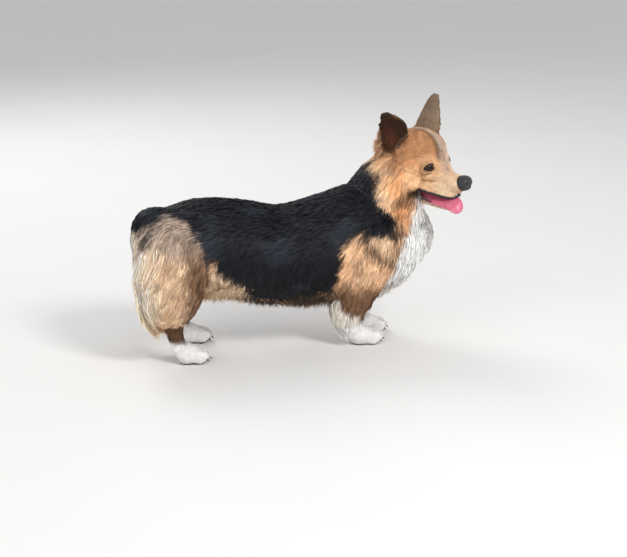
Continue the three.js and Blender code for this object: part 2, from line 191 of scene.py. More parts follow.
def walls_of(rings, sides):
    """Two triangles for each cell between neighbouring rings of points."""
    i, j = np.meshgrid(np.arange(rings - 1), np.arange(sides), indexing="ij")
    a, b = (i * sides + j).ravel(), (i * sides + (j + 1) % sides).ravel()
    return np.concatenate([np.stack([a, b, b + sides], 1), np.stack([a, b + sides, a + sides], 1)])


def closed(grid):
    """A grid of rings as a closed surface: walls between the rings, and a fan over each end. Where the signed
    volume is less than 0, the faces are turned round."""
    rings, sides = grid.shape[:2]
    points = np.vstack([grid.reshape(-1, 3), grid[0].mean(0), grid[-1].mean(0)])
    ring = np.arange(sides)
    start, end = rings * sides, rings * sides + 1
    first = np.stack([(ring + 1) % sides, ring, np.full(sides, start)], 1)
    base = (rings - 1) * sides
    last = np.stack([base + ring, base + (ring + 1) % sides, np.full(sides, end)], 1)
    faces = np.concatenate([walls_of(rings, sides), first, last])
    corners = points[faces]
    volume = np.einsum("ij,ij->i", corners[:, 0], np.cross(corners[:, 1], corners[:, 2])).sum()
    return points, faces if volume > 0 else faces[:, ::-1]


def joined(parts):
    """Several (points, faces) as one."""
    shifts = np.cumsum([0] + [len(p) for p, _ in parts[:-1]])
    return np.vstack([p for p, _ in parts]), np.vstack([f + s for (_, f), s in zip(parts, shifts)])


def make_object(name, points, faces, material=None, smooth=True):
    """A mesh object at the origin from points in metres and triangles."""
    mesh = bpy.data.meshes.new(name)
    mesh.vertices.add(len(points))
    mesh.vertices.foreach_set("co", np.ascontiguousarray(points, np.float32).ravel())
    mesh.loops.add(len(faces) * 3)
    mesh.loops.foreach_set("vertex_index", np.ascontiguousarray(faces, np.int32).ravel())
    mesh.polygons.add(len(faces))
    mesh.polygons.foreach_set("loop_start", np.arange(0, len(faces) * 3, 3, dtype=np.int32))
    mesh.update(calc_edges=True)
    mesh.validate()
    if smooth:
        mesh.shade_smooth()
    item = bpy.data.objects.new(name, mesh)
    bpy.context.scene.collection.objects.link(item)
    if material:
        mesh.materials.append(material)
    return item


def paint(item, name, colours):
    """A colour for each point, kept on the mesh under that name."""
    layer = item.data.color_attributes.new(name, "FLOAT_COLOR", "POINT")
    four = np.ones((len(colours), 4), np.float32)
    four[:, :3] = colours
    layer.data.foreach_set("color", four.ravel())


def piece(item, slot, *nodes):
    """Says what the piece rides on and which solids it stands for. Its finish, slot, is not used."""
    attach(item, "root")
    if nodes:
        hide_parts(*nodes)
    return item


# ---- Body forms
#
# A station is x, y and z of the line, half the width, and half the height above and below the line, in
# millimetres. Where the last isn't given, it is the same below as above. Those of the head are in the head
# frame, and those of a limb are for the right side, with y from its foot's track.


TORSO = [
    (-266, 0, 232, 12, 12, 14),
    (-260, 0, 230, 40, 28, 34),
    (-242, 0, 222, 64, 53, 56),
    (-212, 0, 206, 82, 73, 72),
    (-170, 0, 196, 88, 87, 84),
    (-120, 0, 193, 90, 89, 86),
    (-70, 0, 189, 93, 85, 88),
    (-20, 0, 180, 96, 82, 90),
    (30, 0, 178, 99, 88, 95),
    (80, 0, 180, 100, 98, 98),
    (130, 0, 184, 98, 104, 100),
    (172, 0, 188, 92, 98, 98),
    (206, 0, 192, 78, 82, 88),
    (234, 0, 194, 62, 66, 70),
    (254, 0, 194, 46, 50, 52),
    (270, 0, 194, 27, 32, 34),
    (278, 0, 194, 8, 9, 9),
]
NECK = [
    (142, 0, 196, 40, 36, 36),
    (158, 2, 222, 64, 60, 58),
    (178, 4, 254, 70, 59, 60),
    (196, 6, 288, 66, 51, 53),
    (213, 9, 318, 57, 40, 42),
    (225, 10, 342, 43, 28, 31),
    (231, 10, 354, 20, 16, 16),
]
SKULL = [
    (-82, 0, -2, 20, 18, 22),
    (-76, 0, -2, 42, 36, 40),
    (-62, 0, -4, 54, 52, 50),
    (-38, 0, -8, 55, 62, 54),
    (-12, 0, -7, 56, 66, 53),
    (8, 0, -9, 46, 60, 49),
    (22, 0, -14, 34, 44, 43),
    (34, 0, -20, 25.5, 27, 39),
    (46, 0, -29, 21, 18.5, 32),
    (60, 0, -37, 20, 17, 24),
    (74, 0, -40, 18, 16.5, 19),
    (83, 0, -41, 15, 15, 12.5),
    (88, 0, -40, 11.5, 12, 8.5),
    (90, 0, -40, 5, 5, 5),
]
SKULL_DEPTH = [9, 9, 8, 7, 5, 4, 3.5, 3, 2.2, 1.6, 1.4, 1.2, 1, 1]
JAW = [
    (-12, 0, -63, 20, 8, 12),
    (2, 0, -68, 34, 9, 13),
    (20, 0, -74, 28, 6.5, 10),
    (36, 0, -79.5, 21, 5.5, 8),
    (52, 0, -83, 16.5, 5, 7),
    (64, 0, -84, 13.5, 4.5, 6.5),
    (72, 0, -84, 9, 4, 5),
    (76, 0, -83.5, 4, 2, 2.5),
]
LIP = [
    (0, 36, -36, 3, 8, 6),
    (18, 32, -44, 4, 14, 7),
    (36, 24, -51, 4.5, 16, 6),
    (52, 18.5, -55.5, 4.5, 16, 6),
    (62, 15, -57.5, 4.5, 15, 6),
    (69, 11, -57, 4, 12, 6),
    (73, 7, -56, 3, 8, 5),
]
CHEEK = [
    (14, 30, -28, 8, 10),
    (4, 38, -32, 20, 22),
    (-16, 46, -36, 24, 30),
    (-36, 46, -42, 22, 30),
    (-50, 42, -46, 10, 14),
]
BROW = [
    (10, 31, 10, 6, 6),
    (20, 27, 9, 7, 6),
    (28, 23, 5, 6, 5),
    (35, 19, -1, 3, 3),
]
THROAT = [
    (232, -8, 286, 20, 14, 14),
    (230, -8, 268, 38, 20, 30),
    (227, -6, 248, 46, 25, 38),
    (226, -3, 226, 50, 36, 44),
    (226, 0, 204, 50, 44, 46),
    (224, 0, 184, 47, 44, 44),
    (218, 0, 158, 38, 36, 38),
    (210, 0, 138, 20, 18, 20),
]
UPPER_ARM = [
    (154, 22, 232, 12, 16),
    (156, 34, 214, 30, 34, 34),
    (152, 36, 186, 37, 42, 46),
    (144, 36, 154, 37, 40, 48),
    (136, 31, 126, 33, 34, 42),
    (128, 23, 102, 28, 31, 37),
    (124, 17, 84, 22, 25, 30),
]
FOREARM = [
    (126, 16, 106, 14, 16, 20),
    (124, 13, 90, 24, 29, 38),
    (123, 8, 72, 22, 28, 42),
    (124, 4, 52, 18, 20, 33),
    (130, 1, 34, 15.5, 16, 20),
    (133, 0, 22, 12.5, 14),
]
THIGH = [
    (-222, -12, 248, 10, 18),
    (-222, -2, 234, 28, 42, 42),
    (-222, 6, 210, 35, 56, 54),
    (-221, 10, 180, 38, 61, 61),
    (-221, 12, 146, 36, 62, 60),
    (-223, 11, 118, 32, 56, 58),
    (-227, 8, 94, 27, 42, 46),
    (-230, 5, 78, 18, 26, 30),
    (-231, 4, 68, 9, 11),
]
HOCK = [
    (-222, 6, 96, 12, 16),
    (-220, 4, 80, 18, 24, 19),
    (-217, 2, 60, 14, 17),
    (-213, 0, 42, 12.5, 15.5),
    (-208, 0, 28, 12, 15),
    (-202, 0, 18, 10, 12),
]
TAIL = [
    (-216, 0, 250, 16, 16),
    (-234, 0, 254, 24, 18),
    (-250, 0, 250, 25, 17),
    (-262, 0, 240, 21, 14),
    (-268, 0, 226, 14, 11),
    (-270, 0, 214, 5, 5),
]


def mirrored(stations, side):
    """The stations with y times side."""
    return [(s[0], side * s[1], *s[2:]) for s in stations]


def limb(stations, side, forward, track):
    """A limb's stations moved to where its foot stands, mirrored on the left."""
    return [(s[0] + forward, side * (track + s[1]), *s[2:]) for s in stations]


EAR_RIGHT = [
    (-40, 46, -2, 15, 13),
    (-41, 53, 16, 17, 15),
    (-36, 58, 34, 20.5, 15),
    (-28, 61, 51, 26, 13),
    (-21, 65, 66, 30, 11),
    (-23, 70, 78, 24.5, 7.5),
    (-26.5, 75, 88, 16, 4.8),
    (-28.5, 79, 96, 7, 3),
]
EAR_LEFT = [
    (-21, 36, 4, 24, 14),
    (-23, 45, 23, 30, 16),
    (-23, 54, 44, 29.5, 14),
    (-24, 62, 63, 25.5, 11),
    (-25, 70, 81, 18.5, 7.5),
    (-25, 77, 94, 12.5, 4.8),
    (-23.5, 82, 101, 7, 3),
]
HOLLOW = [
    (-32, 104), (-22, 104), (-8, 90), (12, 82), (16, 66), (-1, 50), (-18, 36), (-29, 24), (-44, 10),
    (-52, 14), (-57, 32), (-60, 49), (-56, 70), (-50, 88),
]


def ear_rings(side, rings=44, sides=48):
    """An ear as a crescent carried up its line: half of each ring is the back of the ear, and the other half
    the hollow, which follows the back at the ear's thickness."""
    stations = np.array(EAR_LEFT if side > 0 else EAR_RIGHT, float)
    stations[:, 1] *= side
    t = np.linspace(0, 1, rings + 1)
    line = spline(stations[:, :3], t)
    along = unit(spline(stations[:, :3], t, slope=True))
    across = np.array([0.99, -side * 0.14, 0])
    wide = unit(across - dot(along, across) * along)
    out = np.cross(along, wide) * side
    size = spline(stations[:, 3:], t)
    angle = np.linspace(0, 2 * math.pi, sides, endpoint=False)
    back = np.sin(angle) < 0
    thick = np.minimum(5.0, 1.6 * size[:, 1:2])
    hollow = thick - size[:, 1:2]
    rise = np.where(back, size[:, 1:2] * np.sin(angle), hollow * np.abs(np.sin(angle)) + 1.2)
    grid = line[:, None] + wide[:, None] * (size[:, :1] * np.cos(angle))[..., None]
    grid = grid + out[:, None] * rise[..., None]
    return from_head(grid)


def paws_of(side):
    """The fore and the hind paw of a side, as x and y of the palm's middle and the scale."""
    is_left = side > 0
    return [
        (FORE_PAW_AT + FORE_STRIDE * is_left, side * FORE_TRACK, 1.0),
        (HIND_PAW_AT + HIND_STRIDE * is_left, side * HIND_TRACK, HIND_PAW_SCALE),
    ]


def toes_of(y, scale):
    """The four toes of a paw: steps sideways from the middle, y of the tip, and reach ahead of the palm."""
    return [(i - 1.5, y + (i - 1.5) * TOE_PITCH * scale, reach * scale) for i, reach in enumerate(TOE_REACH)]


def paw_rings(x, y, scale):
    """The palm and four arched toes, each a short run of rings."""
    palm = [
        (x - 26 * scale, y, 12, 10 * scale, 9, 12),
        (x - 20 * scale, y, 15, 20 * scale, 15, 18),
        (x - 4 * scale, y, 18, 24 * scale, 18, 22),
        (x + 10 * scale, y, 16, 21 * scale, 13, 20),
        (x + 18 * scale, y, 13, 12 * scale, 8, 12),
    ]
    runs = [rings_of(palm, 24, 28)]
    for step, toe_y, reach in toes_of(y, scale):
        toe = [
            (x, y + step * 9 * scale, 18, 5, 6, 8),
            (x + 0.35 * reach, toe_y, 17.5, 6.6 * scale, 9, 14),
            (x + 0.8 * reach, toe_y, 13, 6.6 * scale, 10.5, 16),
            (x + reach, toe_y, 9, 4.4 * scale, 6, 8),
        ]
        runs.append(rings_of(toe, 18, 20))
    return runs


def body_forms():
    """Every form of the body as (label, grid), drawn in by the depth of the coat that covers it."""
    forms = [
        ("torso", rings_of(TORSO, 80, 64, depth=9)),
        ("neck", rings_of(NECK, 40, 56, depth=10)),
        ("neck", rings_of(THROAT, 36, 40)),
        ("skull", rings_of(SKULL, 70, 56, squareness=0.88, depth=SKULL_DEPTH, in_head=True)),
        ("jaw", rings_of(JAW, 44, 36, depth=1, in_head=True)),
        ("tail", rings_of(TAIL, 30, 28, depth=6)),
    ]
    for side, _ in SIDES:
        fore = FORE_STRIDE if side > 0 else 0
        hind = HIND_STRIDE if side > 0 else 0
        arm = limb(UPPER_ARM, side, fore, FORE_TRACK)
        forearm = limb(FOREARM, side, fore, FORE_TRACK)
        thigh = limb(THIGH, side, 0.8 * hind, HIND_TRACK)
        hock = limb(HOCK, side, hind, HIND_TRACK)
        forms += [
            ("lip", rings_of(mirrored(LIP, side), 36, 20, depth=0.6, in_head=True)),
            ("cheek", rings_of(mirrored(CHEEK, side), 28, 28, depth=5, in_head=True)),
            ("brow", rings_of(mirrored(BROW, side), 20, 18, in_head=True)),
            ("ear", ear_rings(side)),
            ("arm", rings_of(arm, 36, 36, depth=6)),
            ("forearm", rings_of(forearm, 28, 28, depth=3)),
            ("thigh", rings_of(thigh, 40, 40, depth=8)),
            ("hock", rings_of(hock, 28, 28, depth=2)),
        ]
        forms += [("paw", rings) for paw in paws_of(side) for rings in paw_rings(*paw)]
    return forms


LABELS = [
    "torso", "neck", "skull", "jaw", "tail", "lip", "cheek", "brow", "ear", "arm", "forearm", "thigh", "hock",
    "paw", "hollow",
]
HEAD_FORMS = ("skull", "brow", "cheek", "lip", "jaw")


def on_forms(label, *names):
    """Where the labels are those of these forms."""
    return np.isin(label, [LABELS.index(name) for name in names])


def fused(forms, voxel):
    """One surface round all the forms, by voxels, as points in millimetres and triangles."""
    points, faces = joined([closed(g) for _, g in forms])
    source = make_object("skin_source", metres(points), faces)
    remesh = source.modifiers.new("voxels", "REMESH")
    remesh.mode = "VOXEL"
    remesh.voxel_size = voxel
    remesh.adaptivity = 0
    mesh = source.evaluated_get(bpy.context.evaluated_depsgraph_get()).to_mesh()
    mesh.calc_loop_triangles()
    out = np.zeros(len(mesh.vertices) * 3, np.float32)
    mesh.vertices.foreach_get("co", out)
    triangles = np.zeros(len(mesh.loop_triangles) * 3, np.int32)
    mesh.loop_triangles.foreach_get("vertices", triangles)
    bpy.data.objects.remove(source)
    return millimetres(out.reshape(-1, 3).astype(float)), triangles.reshape(-1, 3)


def edges_of(faces):
    """Each edge once, as pairs of points."""
    pairs = np.sort(np.concatenate([faces[:, [0, 1]], faces[:, [1, 2]], faces[:, [2, 0]]]), axis=1)
    return np.unique(pairs, axis=0)


def relaxed(values, edges, rounds, share=0.5, strength=None):
    """Values drawn towards the mean of their neighbours, a share at a time."""
    values = np.array(values, float)
    flat = values.reshape(len(values), -1)
    a, b = edges.T
    count = np.bincount(a, minlength=len(flat)) + np.bincount(b, minlength=len(flat))
    amount = share if strength is None else share * strength[:, None]
    for _ in range(rounds):
        total = np.stack(
            [
                np.bincount(a, flat[b, k], len(flat)) + np.bincount(b, flat[a, k], len(flat))
                for k in range(flat.shape[1])
            ],
            1,
        )
        flat = flat + amount * (total / np.maximum(count, 1)[:, None] - flat)
    return flat.reshape(values.shape)


def point_normals(points, faces):
    """The area-weighted mean of the normals round each point."""
    corners = points[faces]
    face = np.cross(corners[:, 1] - corners[:, 0], corners[:, 2] - corners[:, 0])
    total = np.zeros_like(points)
    for k in range(3):
        for axis in range(3):
            total[:, axis] += np.bincount(faces[:, k], face[:, axis], len(points))
    return unit(total)


def nearest_form(points, forms):
    """For each point the label of the nearest form, and the shares along and round it."""
    samples, labels, places = [], [], []
    for name, grid in forms:
        rings, sides = grid.shape[:2]
        v, u = np.meshgrid(np.linspace(0, 1, rings), np.arange(sides) / sides, indexing="ij")
        samples.append(grid.reshape(-1, 3))
        labels.append(np.full(rings * sides, LABELS.index(name)))
        places.append(np.stack([v.ravel(), u.ravel()], 1))
    samples, labels, places = np.vstack(samples), np.concatenate(labels), np.vstack(places)
    tree = KDTree(len(samples))
    for i, p in enumerate(samples.tolist()):
        tree.insert(p, i)
    tree.balance()
    found = np.fromiter((tree.find(p)[1] for p in points.tolist()), np.int64, len(points))
    return labels[found], places[found]


# ---- The lie, length and colour of the coat


def behind_ear(h, n):
    """1 low on the back of an ear, where long hair hangs from it, and 0 elsewhere."""
    facing_back = smooth_step(-(n @ HEAD_AXES)[:, 0], 0.2, 0.7)
    return facing_back * (1 - smooth_step(h[:, 2], 34, 70)) * smooth_step(-h[:, 0], 44, 54)


def lie_of(label, p, n, h):
    """The way the hair points, from the form, place, normal and head-frame place of each root: back and down
    over the body, down the neck and the legs, forward on the paws, and back over the face."""
    lie = np.zeros_like(p)

    def comb(name, x, y, z, in_head=False):
        rows = label == LABELS.index(name)
        way = np.stack(np.broadcast_arrays(x, y, z, rows)[:3], 1).astype(float)
        lie[rows] = (way @ HEAD_AXES.T if in_head else way)[rows]

    side = np.sign(p[:, 1] + 1e-6)
    down = smooth_step(-n[:, 2], -0.75, 0.5)
    chest = smooth_step(p[:, 0], 150, 235)
    rump = smooth_step(-p[:, 0], 205, 262)
    fall = -0.15 - 1.0 * down - 1.2 * chest - 1.4 * rump
    comb("torso", -1 + 0.75 * down + 0.85 * chest, 0.12 * side * (1 - chest), fall)
    comb("neck", -0.55 + 0.35 * n[:, 0], 0.15 * side, -1)
    comb("tail", -0.6, 0, -0.9)
    comb("arm", -0.3, 0.05 * side, -1)
    comb("forearm", -0.25, 0, -1)
    comb("thigh", -0.42, 0.02 * side, -1)
    comb("hock", -0.15, 0, -1)
    comb("paw", 0.85, 0, -0.5)
    hx, hy, hz = h.T
    side = np.sign(hy + 1e-6)
    back = smooth_step(-hx, -30, 40)
    crown = smooth_step(hz, 5, 35)
    rise = 0.55 * crown * (1 - back) - 0.75 * (1 - crown) * (0.35 + back)
    comb("skull", -1, 0.35 * side * (1 - crown), rise, in_head=True)
    comb("brow", -1, 0.35 * side * (1 - crown), rise, in_head=True)
    comb("cheek", -0.8, 0.25 * side, -0.75, in_head=True)
    comb("lip", -1, 0.15 * side, -0.25, in_head=True)
    comb("jaw", -0.9, 0.1 * side, -0.35, in_head=True)
    comb("hollow", -0.1, 0.38 * side, 1, in_head=True)
    hanging = behind_ear(h, n)
    comb("ear", -0.05 - 0.7 * hanging, 0.38 * side, 1.0 - 2.0 * hanging, in_head=True)
    return unit(lie)


def coat_of(label, p, n, h):
    """Length, width, height of the tip over the skin, looseness and density of the coat at each root. The
    first three are in millimetres, and the density is beside the torso's."""
    coat = np.zeros((len(p), 5))

    def grow(name, length, width, height, loose, density):
        rows = label == LABELS.index(name)
        columns = np.broadcast_arrays(length, width, height, loose, density, rows)[:5]
        coat[rows] = np.stack(columns, 1)[rows]

    x, _, z = p.T
    under = smooth_step(-n[:, 2], 0.25, 0.8)
    chest = smooth_step(x, 185, 240)
    top = smooth_step(n[:, 2], 0.4, 0.9)
    rear = smooth_step(-x, 225, 262)
    length = 42 - 8 * top + 2 * chest + 16 * under * (1 - chest) + 8 * rear
    height = 9 - 1.5 * top + 5 * chest + 2 * under
    grow("torso", length, 2.0, height, 0.08 + 0.35 * chest + 0.7 * under * (1 - chest), 1.0)
    front = smooth_step(n[:, 0], -0.2, 0.8)
    grow("neck", 37 + 5 * front, 1.8, 11 + 2 * front, 0.25, 1.3)
    grow("tail", 24, 1.8, 6, 0.1, 1.5)
    behind = smooth_step(-n[:, 0], 0.1, 0.75)
    grow("arm", 30 + 12 * behind, 1.8, 6.5, 0.12, 1.2)
    feather = smooth_step(-n[:, 0], -0.15, 0.5) * smooth_step(z, 30, 50)
    grow("forearm", 11 + 32 * feather, 1.2 + 0.7 * feather, 2.2 + 12 * feather, 0.4 * feather, 2.0)
    low = smooth_step(-z, -118, -80)
    grow("thigh", (40 + 22 * behind) * (1 - 0.68 * low), 1.9, 7 + 7 * behind, 0.1 + 0.45 * behind, 1.2)
    grow("hock", 8, 1.0, 1.6, 0, 2.6)
    grow("paw", 4.6, 0.8, 0.7, 0, 3.0)
    # Head: short on the muzzle, longer under the cheeks and down the nape, but not beside the ears
    hx, hy, hz = h.T
    muzzle = smooth_step(hx, 34, 62)
    by_ear = smooth_step(np.abs(hy), 20, 32) * smooth_step(hz, -12, 4)
    nape = smooth_step(-hx, 18, 52) * (1 - by_ear * (1 - smooth_step(-hx, 56, 68)))
    low_head = smooth_step(-hz, 12, 45) * (1 - smooth_step(hx, -6, 20))
    crown = smooth_step(hz, 20, 42) * (1 - smooth_step(hx, 14, 34))
    length = 10.5 - 6 * muzzle + 26 * nape + 16 * low_head * (1 - nape) - 2 * crown
    height = 2.6 - 1.4 * muzzle + 6 * nape + 3 * low_head - 1.2 * crown
    grow("skull", length, 1.05 - 0.3 * muzzle + 0.7 * nape, height, 0.15 * nape, 3.0)
    grow("brow", 6, 0.9, 1.5, 0, 4.0)
    grow("lip", 5, 0.8, 1.2, 0, 4.0)
    grow("jaw", 7, 0.9, 1.8, 0.1, 3.2)
    far_back = smooth_step(-hx, -4, 40)
    grow("cheek", 13 + 24 * far_back, 1.4, 3 + 6 * far_back, 0.15, 2.0)
    foot = 0.5 - 0.5 * smooth_step(hz, 24, 52)
    hanging = behind_ear(h, n)
    length, height = 6 + 12 * foot + 20 * hanging, 1.2 + 2 * foot + 8 * hanging
    grow("ear", length, 0.9 + 0.7 * hanging, height, 0.5 * hanging, 3.0)
    grow("hollow", 7, 0.9, 1.0, 0, 3.0)
    cup = cup_share(h, n)[:, None]
    coat[:, :4] = coat[:, :4] * (1 - cup) + np.array([6, 0.9, 0.8, 0]) * cup
    coat[:, 4:] *= 1 - 0.9 * smooth_step(cup, 0.3, 0.8)
    return coat


def srgb(r, g, b):
    """A colour named in 0 to 255 screen values, as linear light."""
    c = np.array([r, g, b]) / 255
    return np.where(c > 0.04045, ((c + 0.055) / 1.055) ** 2.4, c / 12.92)


COLOUR_NAMES = ["black", "dark", "brown", "tan", "pale", "cream", "white"]

# Outlines of the markings seen from the side, as x and z. Those of HOLLOW are in the head frame.
SADDLE = [
    (-320, 430), (-320, 248), (-292, 240), (-268, 228), (-256, 240), (-238, 252), (-214, 256), (-195, 250),
    (-178, 231), (-169, 213), (-163, 187), (-131, 167), (-113, 143), (-88, 118), (-50, 98), (24, 94),
    (60, 98), (78, 120), (83, 150), (85, 170), (92, 195), (104, 208), (126, 210), (150, 212), (182, 214),
    (186, 232), (173, 262), (169, 300), (171, 330), (176, 360), (186, 430),
]
BIB = [
    (234, 262), (320, 264), (320, 70), (160, 70), (174, 100), (180, 120), (184, 140), (191, 162), (196, 188),
    (207, 206), (222, 222), (230, 240),
]
FRONT_LINE = [(100, 222), (127, 202), (156, 181), (185, 157), (200, 146)]
# The back edge of the ruff's tan: heights, and x at each of them.
RUFF_BACK = ([225, 262, 300, 330, 360], [182, 170, 169, 171, 176])


def outline_distance(points, outline, is_closed=True):
    """Distance to an outline in the plane, less than 0 inside: the least distance to its edges, with the sign
    from the count of edges that a ray to the right crosses."""
    outline = np.array(outline, float)
    ends = np.roll(outline, -1, 0) if is_closed else outline[1:]
    starts = outline if is_closed else outline[:-1]
    best = np.full(len(points), 1e9)
    inside = np.zeros(len(points), bool)
    for a, b in zip(starts, ends):
        step = b - a
        t = np.clip(((points - a) @ step) / (step @ step), 0, 1)
        best = np.minimum(best, np.linalg.norm(points - a - t[:, None] * step, axis=1))
        crosses = (a[1] > points[:, 1]) != (b[1] > points[:, 1])
        level = a[0] + (points[:, 1] - a[1]) / (step[1] if step[1] else 1e-9) * step[0]
        inside ^= crosses & (points[:, 0] < level)
    return np.where(inside, -best, best) if is_closed else best


def cup_share(h, n):
    """1 where a place lies inside the outline of an ear's hollow and faces out of it, and 0 outside."""
    inside = 1 - smooth_step(outline_distance(h[:, [0, 2]], HOLLOW), -2, 3)
    turned = n @ HEAD_AXES
    ahead = np.where(h[:, 0] > -48, np.abs(turned[:, 0]), turned[:, 0])
    opens = smooth_step(0.5 * ahead + 0.85 * turned[:, 1] * np.sign(h[:, 1]), -0.15, 0.2)
    return inside * opens * smooth_step(np.abs(h[:, 1]), 26, 34)


def ear_bowl(h):
    """Squared distance, in half widths, from the middle of the bowl under each ear's hollow."""
    inward = np.clip((30 - np.abs(h[:, 1])) / 6, 0, 9)
    return ((h[:, 0] + 38) / 14) ** 2 + ((h[:, 2] - 22) / 20) ** 2 + inward**2


def blend(under, over, share):
    """Under with a share of over laid on it."""
    return under + (over - under) * share[:, None]


class Markings:
    """The coat's colours at some places of the skin, laid on region by region with soft, ragged edges.

    rag moves an edge in and out by up to about 10 mm, streak and fine run along the hair, and plane is each
    place seen from the side, moved by its rag. ruff_back is x of the back edge of the ruff's tan there.
    """

    def __init__(self, label, p, n, palette):
        self.label, self.p, self.n, self.h = label, p, n, to_head(p)
        self.palette = dict(zip(COLOUR_NAMES, palette))
        self.rag = 5 * waves(p, 16, 3) + 6 * waves(p, 44, 4)
        self.streak = waves(p * np.array([1, 0.6, 0.35]), 11, 5)
        self.fine = waves(self.h * np.array([0.35, 1, 1]), 6, 21)
        self.plane = p[:, [0, 2]] + self.rag[:, None] * np.array([0.6, 0.5])
        self.ruff_back = np.interp(p[:, 2], *RUFF_BACK)
        self.colour = self.all_over(self.mix(tan=1))

    def all_over(self, colour):
        """One colour for every place."""
        return np.tile(colour, (len(self.p), 1))

    def mix(self, **shares):
        """The palette's colours times their shares, added up."""
        return sum(share * self.palette[name] for name, share in shares.items())

    def on(self, *names):
        """Where the places belong to these forms."""
        return on_forms(self.label, *names)

    def lay(self, colour, share):
        """Lays a colour over what is there, by a share for each place."""
        self.colour = blend(self.colour, colour, share)

    def trunk(self):
        """A cream belly, a pale flank with dark streaks, a pale shoulder and a brown low side."""
        x, _, z = self.p.T
        torso = self.on("torso")
        self.lay(self.mix(cream=1), smooth_step(-self.n[:, 2], 0.55, 0.85) * torso)
        flank = torso * smooth_step(-x, 50, 100) * (1 - smooth_step(z, 165, 200))
        self.lay(self.mix(pale=0.45, brown=0.1, cream=0.45), 0.95 * flank)
        self.lay(self.mix(dark=1), 0.45 * flank * smooth_step(self.streak, 0.1, 0.9))
        self.lay(self.mix(pale=0.6, cream=0.2, tan=0.2), 0.75 * torso * smooth_step(x, 60, 100))
        low_side = torso * smooth_step(x, -100, -55) * (1 - smooth_step(x, 105, 130))
        self.lay(self.mix(brown=0.45, dark=0.35, pale=0.2), 0.9 * (low_side * (1 - smooth_step(z, 118, 140))))

    def neck(self):
        """Grey and dark streaks on the neck's side, above the line that falls to the front; a pale ruff."""
        x, _, z = self.p.T
        side = smooth_step(x, 90, 120) * (1 - smooth_step(z, 224, 248)) * self.on("torso", "neck", "arm")
        above_line = smooth_step(z - (x * -0.76 + 297), 0, 10)
        grey = smooth_step(self.streak, -1.1, 0.1)
        self.lay(self.mix(dark=0.3, pale=0.4, brown=0.3), 0.9 * side * above_line * grey)
        self.lay(self.mix(dark=1), 0.6 * side * above_line * smooth_step(self.streak, 0.2, 0.9))
        behind = 1 - smooth_step(x - self.ruff_back - self.rag, 4, 30)
        self.lay(self.mix(pale=1), behind * self.on("neck") * smooth_step(z, 225, 250))

    def arms(self):
        """Pale arms, brown towards the elbow, with dark streaks behind."""
        x, _, z = self.p.T
        arm = self.on("arm")
        self.lay(self.mix(pale=0.7, cream=0.3), arm * 0.6)
        self.lay(self.mix(brown=0.6, dark=0.4), arm * (1 - smooth_step(z + 0.4 * self.rag, 108, 140)) * 0.9)
        streaks = 0.45 * smooth_step(self.streak, 0.1, 0.9)
        self.lay(self.mix(dark=1), arm * streaks * (1 - smooth_step(x, 120, 150)))

    def trousers(self):
        """Cream and brown locks, dark in front, grey at the top, white behind and under the tail."""
        x, y, z = self.p.T
        torso, thigh, tail = (self.on(name) for name in ("torso", "thigh", "tail"))
        thigh_x = x - 0.8 * HIND_STRIDE * (y > 0)
        beside = smooth_step(-thigh_x, 146, 162) * smooth_step(np.abs(y), 10, 26)
        upper = np.maximum(thigh, torso * beside)
        lock = waves(self.p * np.array([1, 0.5, 0.8]), 22, 31)
        seat = (torso | tail) * smooth_step(-x, 216, 240) * (1 - smooth_step(z, 236, 256))
        self.lay(self.mix(cream=1), seat)
        self.lay(self.mix(pale=0.5, brown=0.2, cream=0.3), upper)
        self.lay(self.mix(pale=0.45, brown=0.55), upper * 0.75 * smooth_step(lock, -0.3, 0.9))
        self.lay(srgb(136, 104, 78), upper * smooth_step(thigh_x, -214, -190))
        front = smooth_step(thigh_x, -206, -182)
        self.lay(self.mix(dark=1), 0.5 * upper * front * smooth_step(lock, -0.2, 0.8))
        self.lay(srgb(176, 156, 140), upper * 0.9 * smooth_step(z + 0.4 * self.rag, 190, 228))
        streaks = smooth_step(self.streak, 0, 0.8)
        self.lay(self.mix(black=0.5, brown=0.5), 0.5 * upper * smooth_step(z, 196, 226) * streaks)
        self.lay(self.mix(cream=1), upper * 0.8 * (1 - smooth_step(thigh_x + 0.3 * self.rag, -266, -238)))
        rear = (thigh | tail | (torso & (x < -220))) * (1 - smooth_step(thigh_x + 0.4 * self.rag, -290, -272))
        self.lay(self.mix(white=1), rear * (1 - smooth_step(z, 236, 250)))

    def legs(self):
        """Dark hocks, brown forearms with a pale feather, pale inner sides, and white above the paws."""
        x, y, z = self.p.T
        hock, forearm = self.on("hock"), self.on("forearm")
        self.lay(self.mix(brown=0.2, dark=0.8), hock * 0.95)
        self.lay(self.mix(dark=1), hock * 0.4 * smooth_step(waves(self.p, 20, 8), 0, 0.9))
        self.lay(self.mix(brown=0.8, dark=0.2), forearm)
        fore_x = x - FORE_STRIDE * (y > 0)
        feather = forearm * (1 - smooth_step(fore_x + 0.5 * self.rag, 120, 132)) * smooth_step(z, 34, 44)
        self.lay(self.mix(cream=0.5, white=0.5), feather)
        inner = smooth_step(-self.n[:, 1] * np.sign(y), 0.2, 0.8)
        self.lay(self.mix(white=1), (forearm | hock) * inner * 0.8)
        self.lay(self.mix(white=1), forearm * (1 - smooth_step(z + 0.5 * self.rag, 38, 50)))
        self.lay(self.mix(white=1), hock * (1 - smooth_step(z + 0.4 * self.rag, 34, 44)))

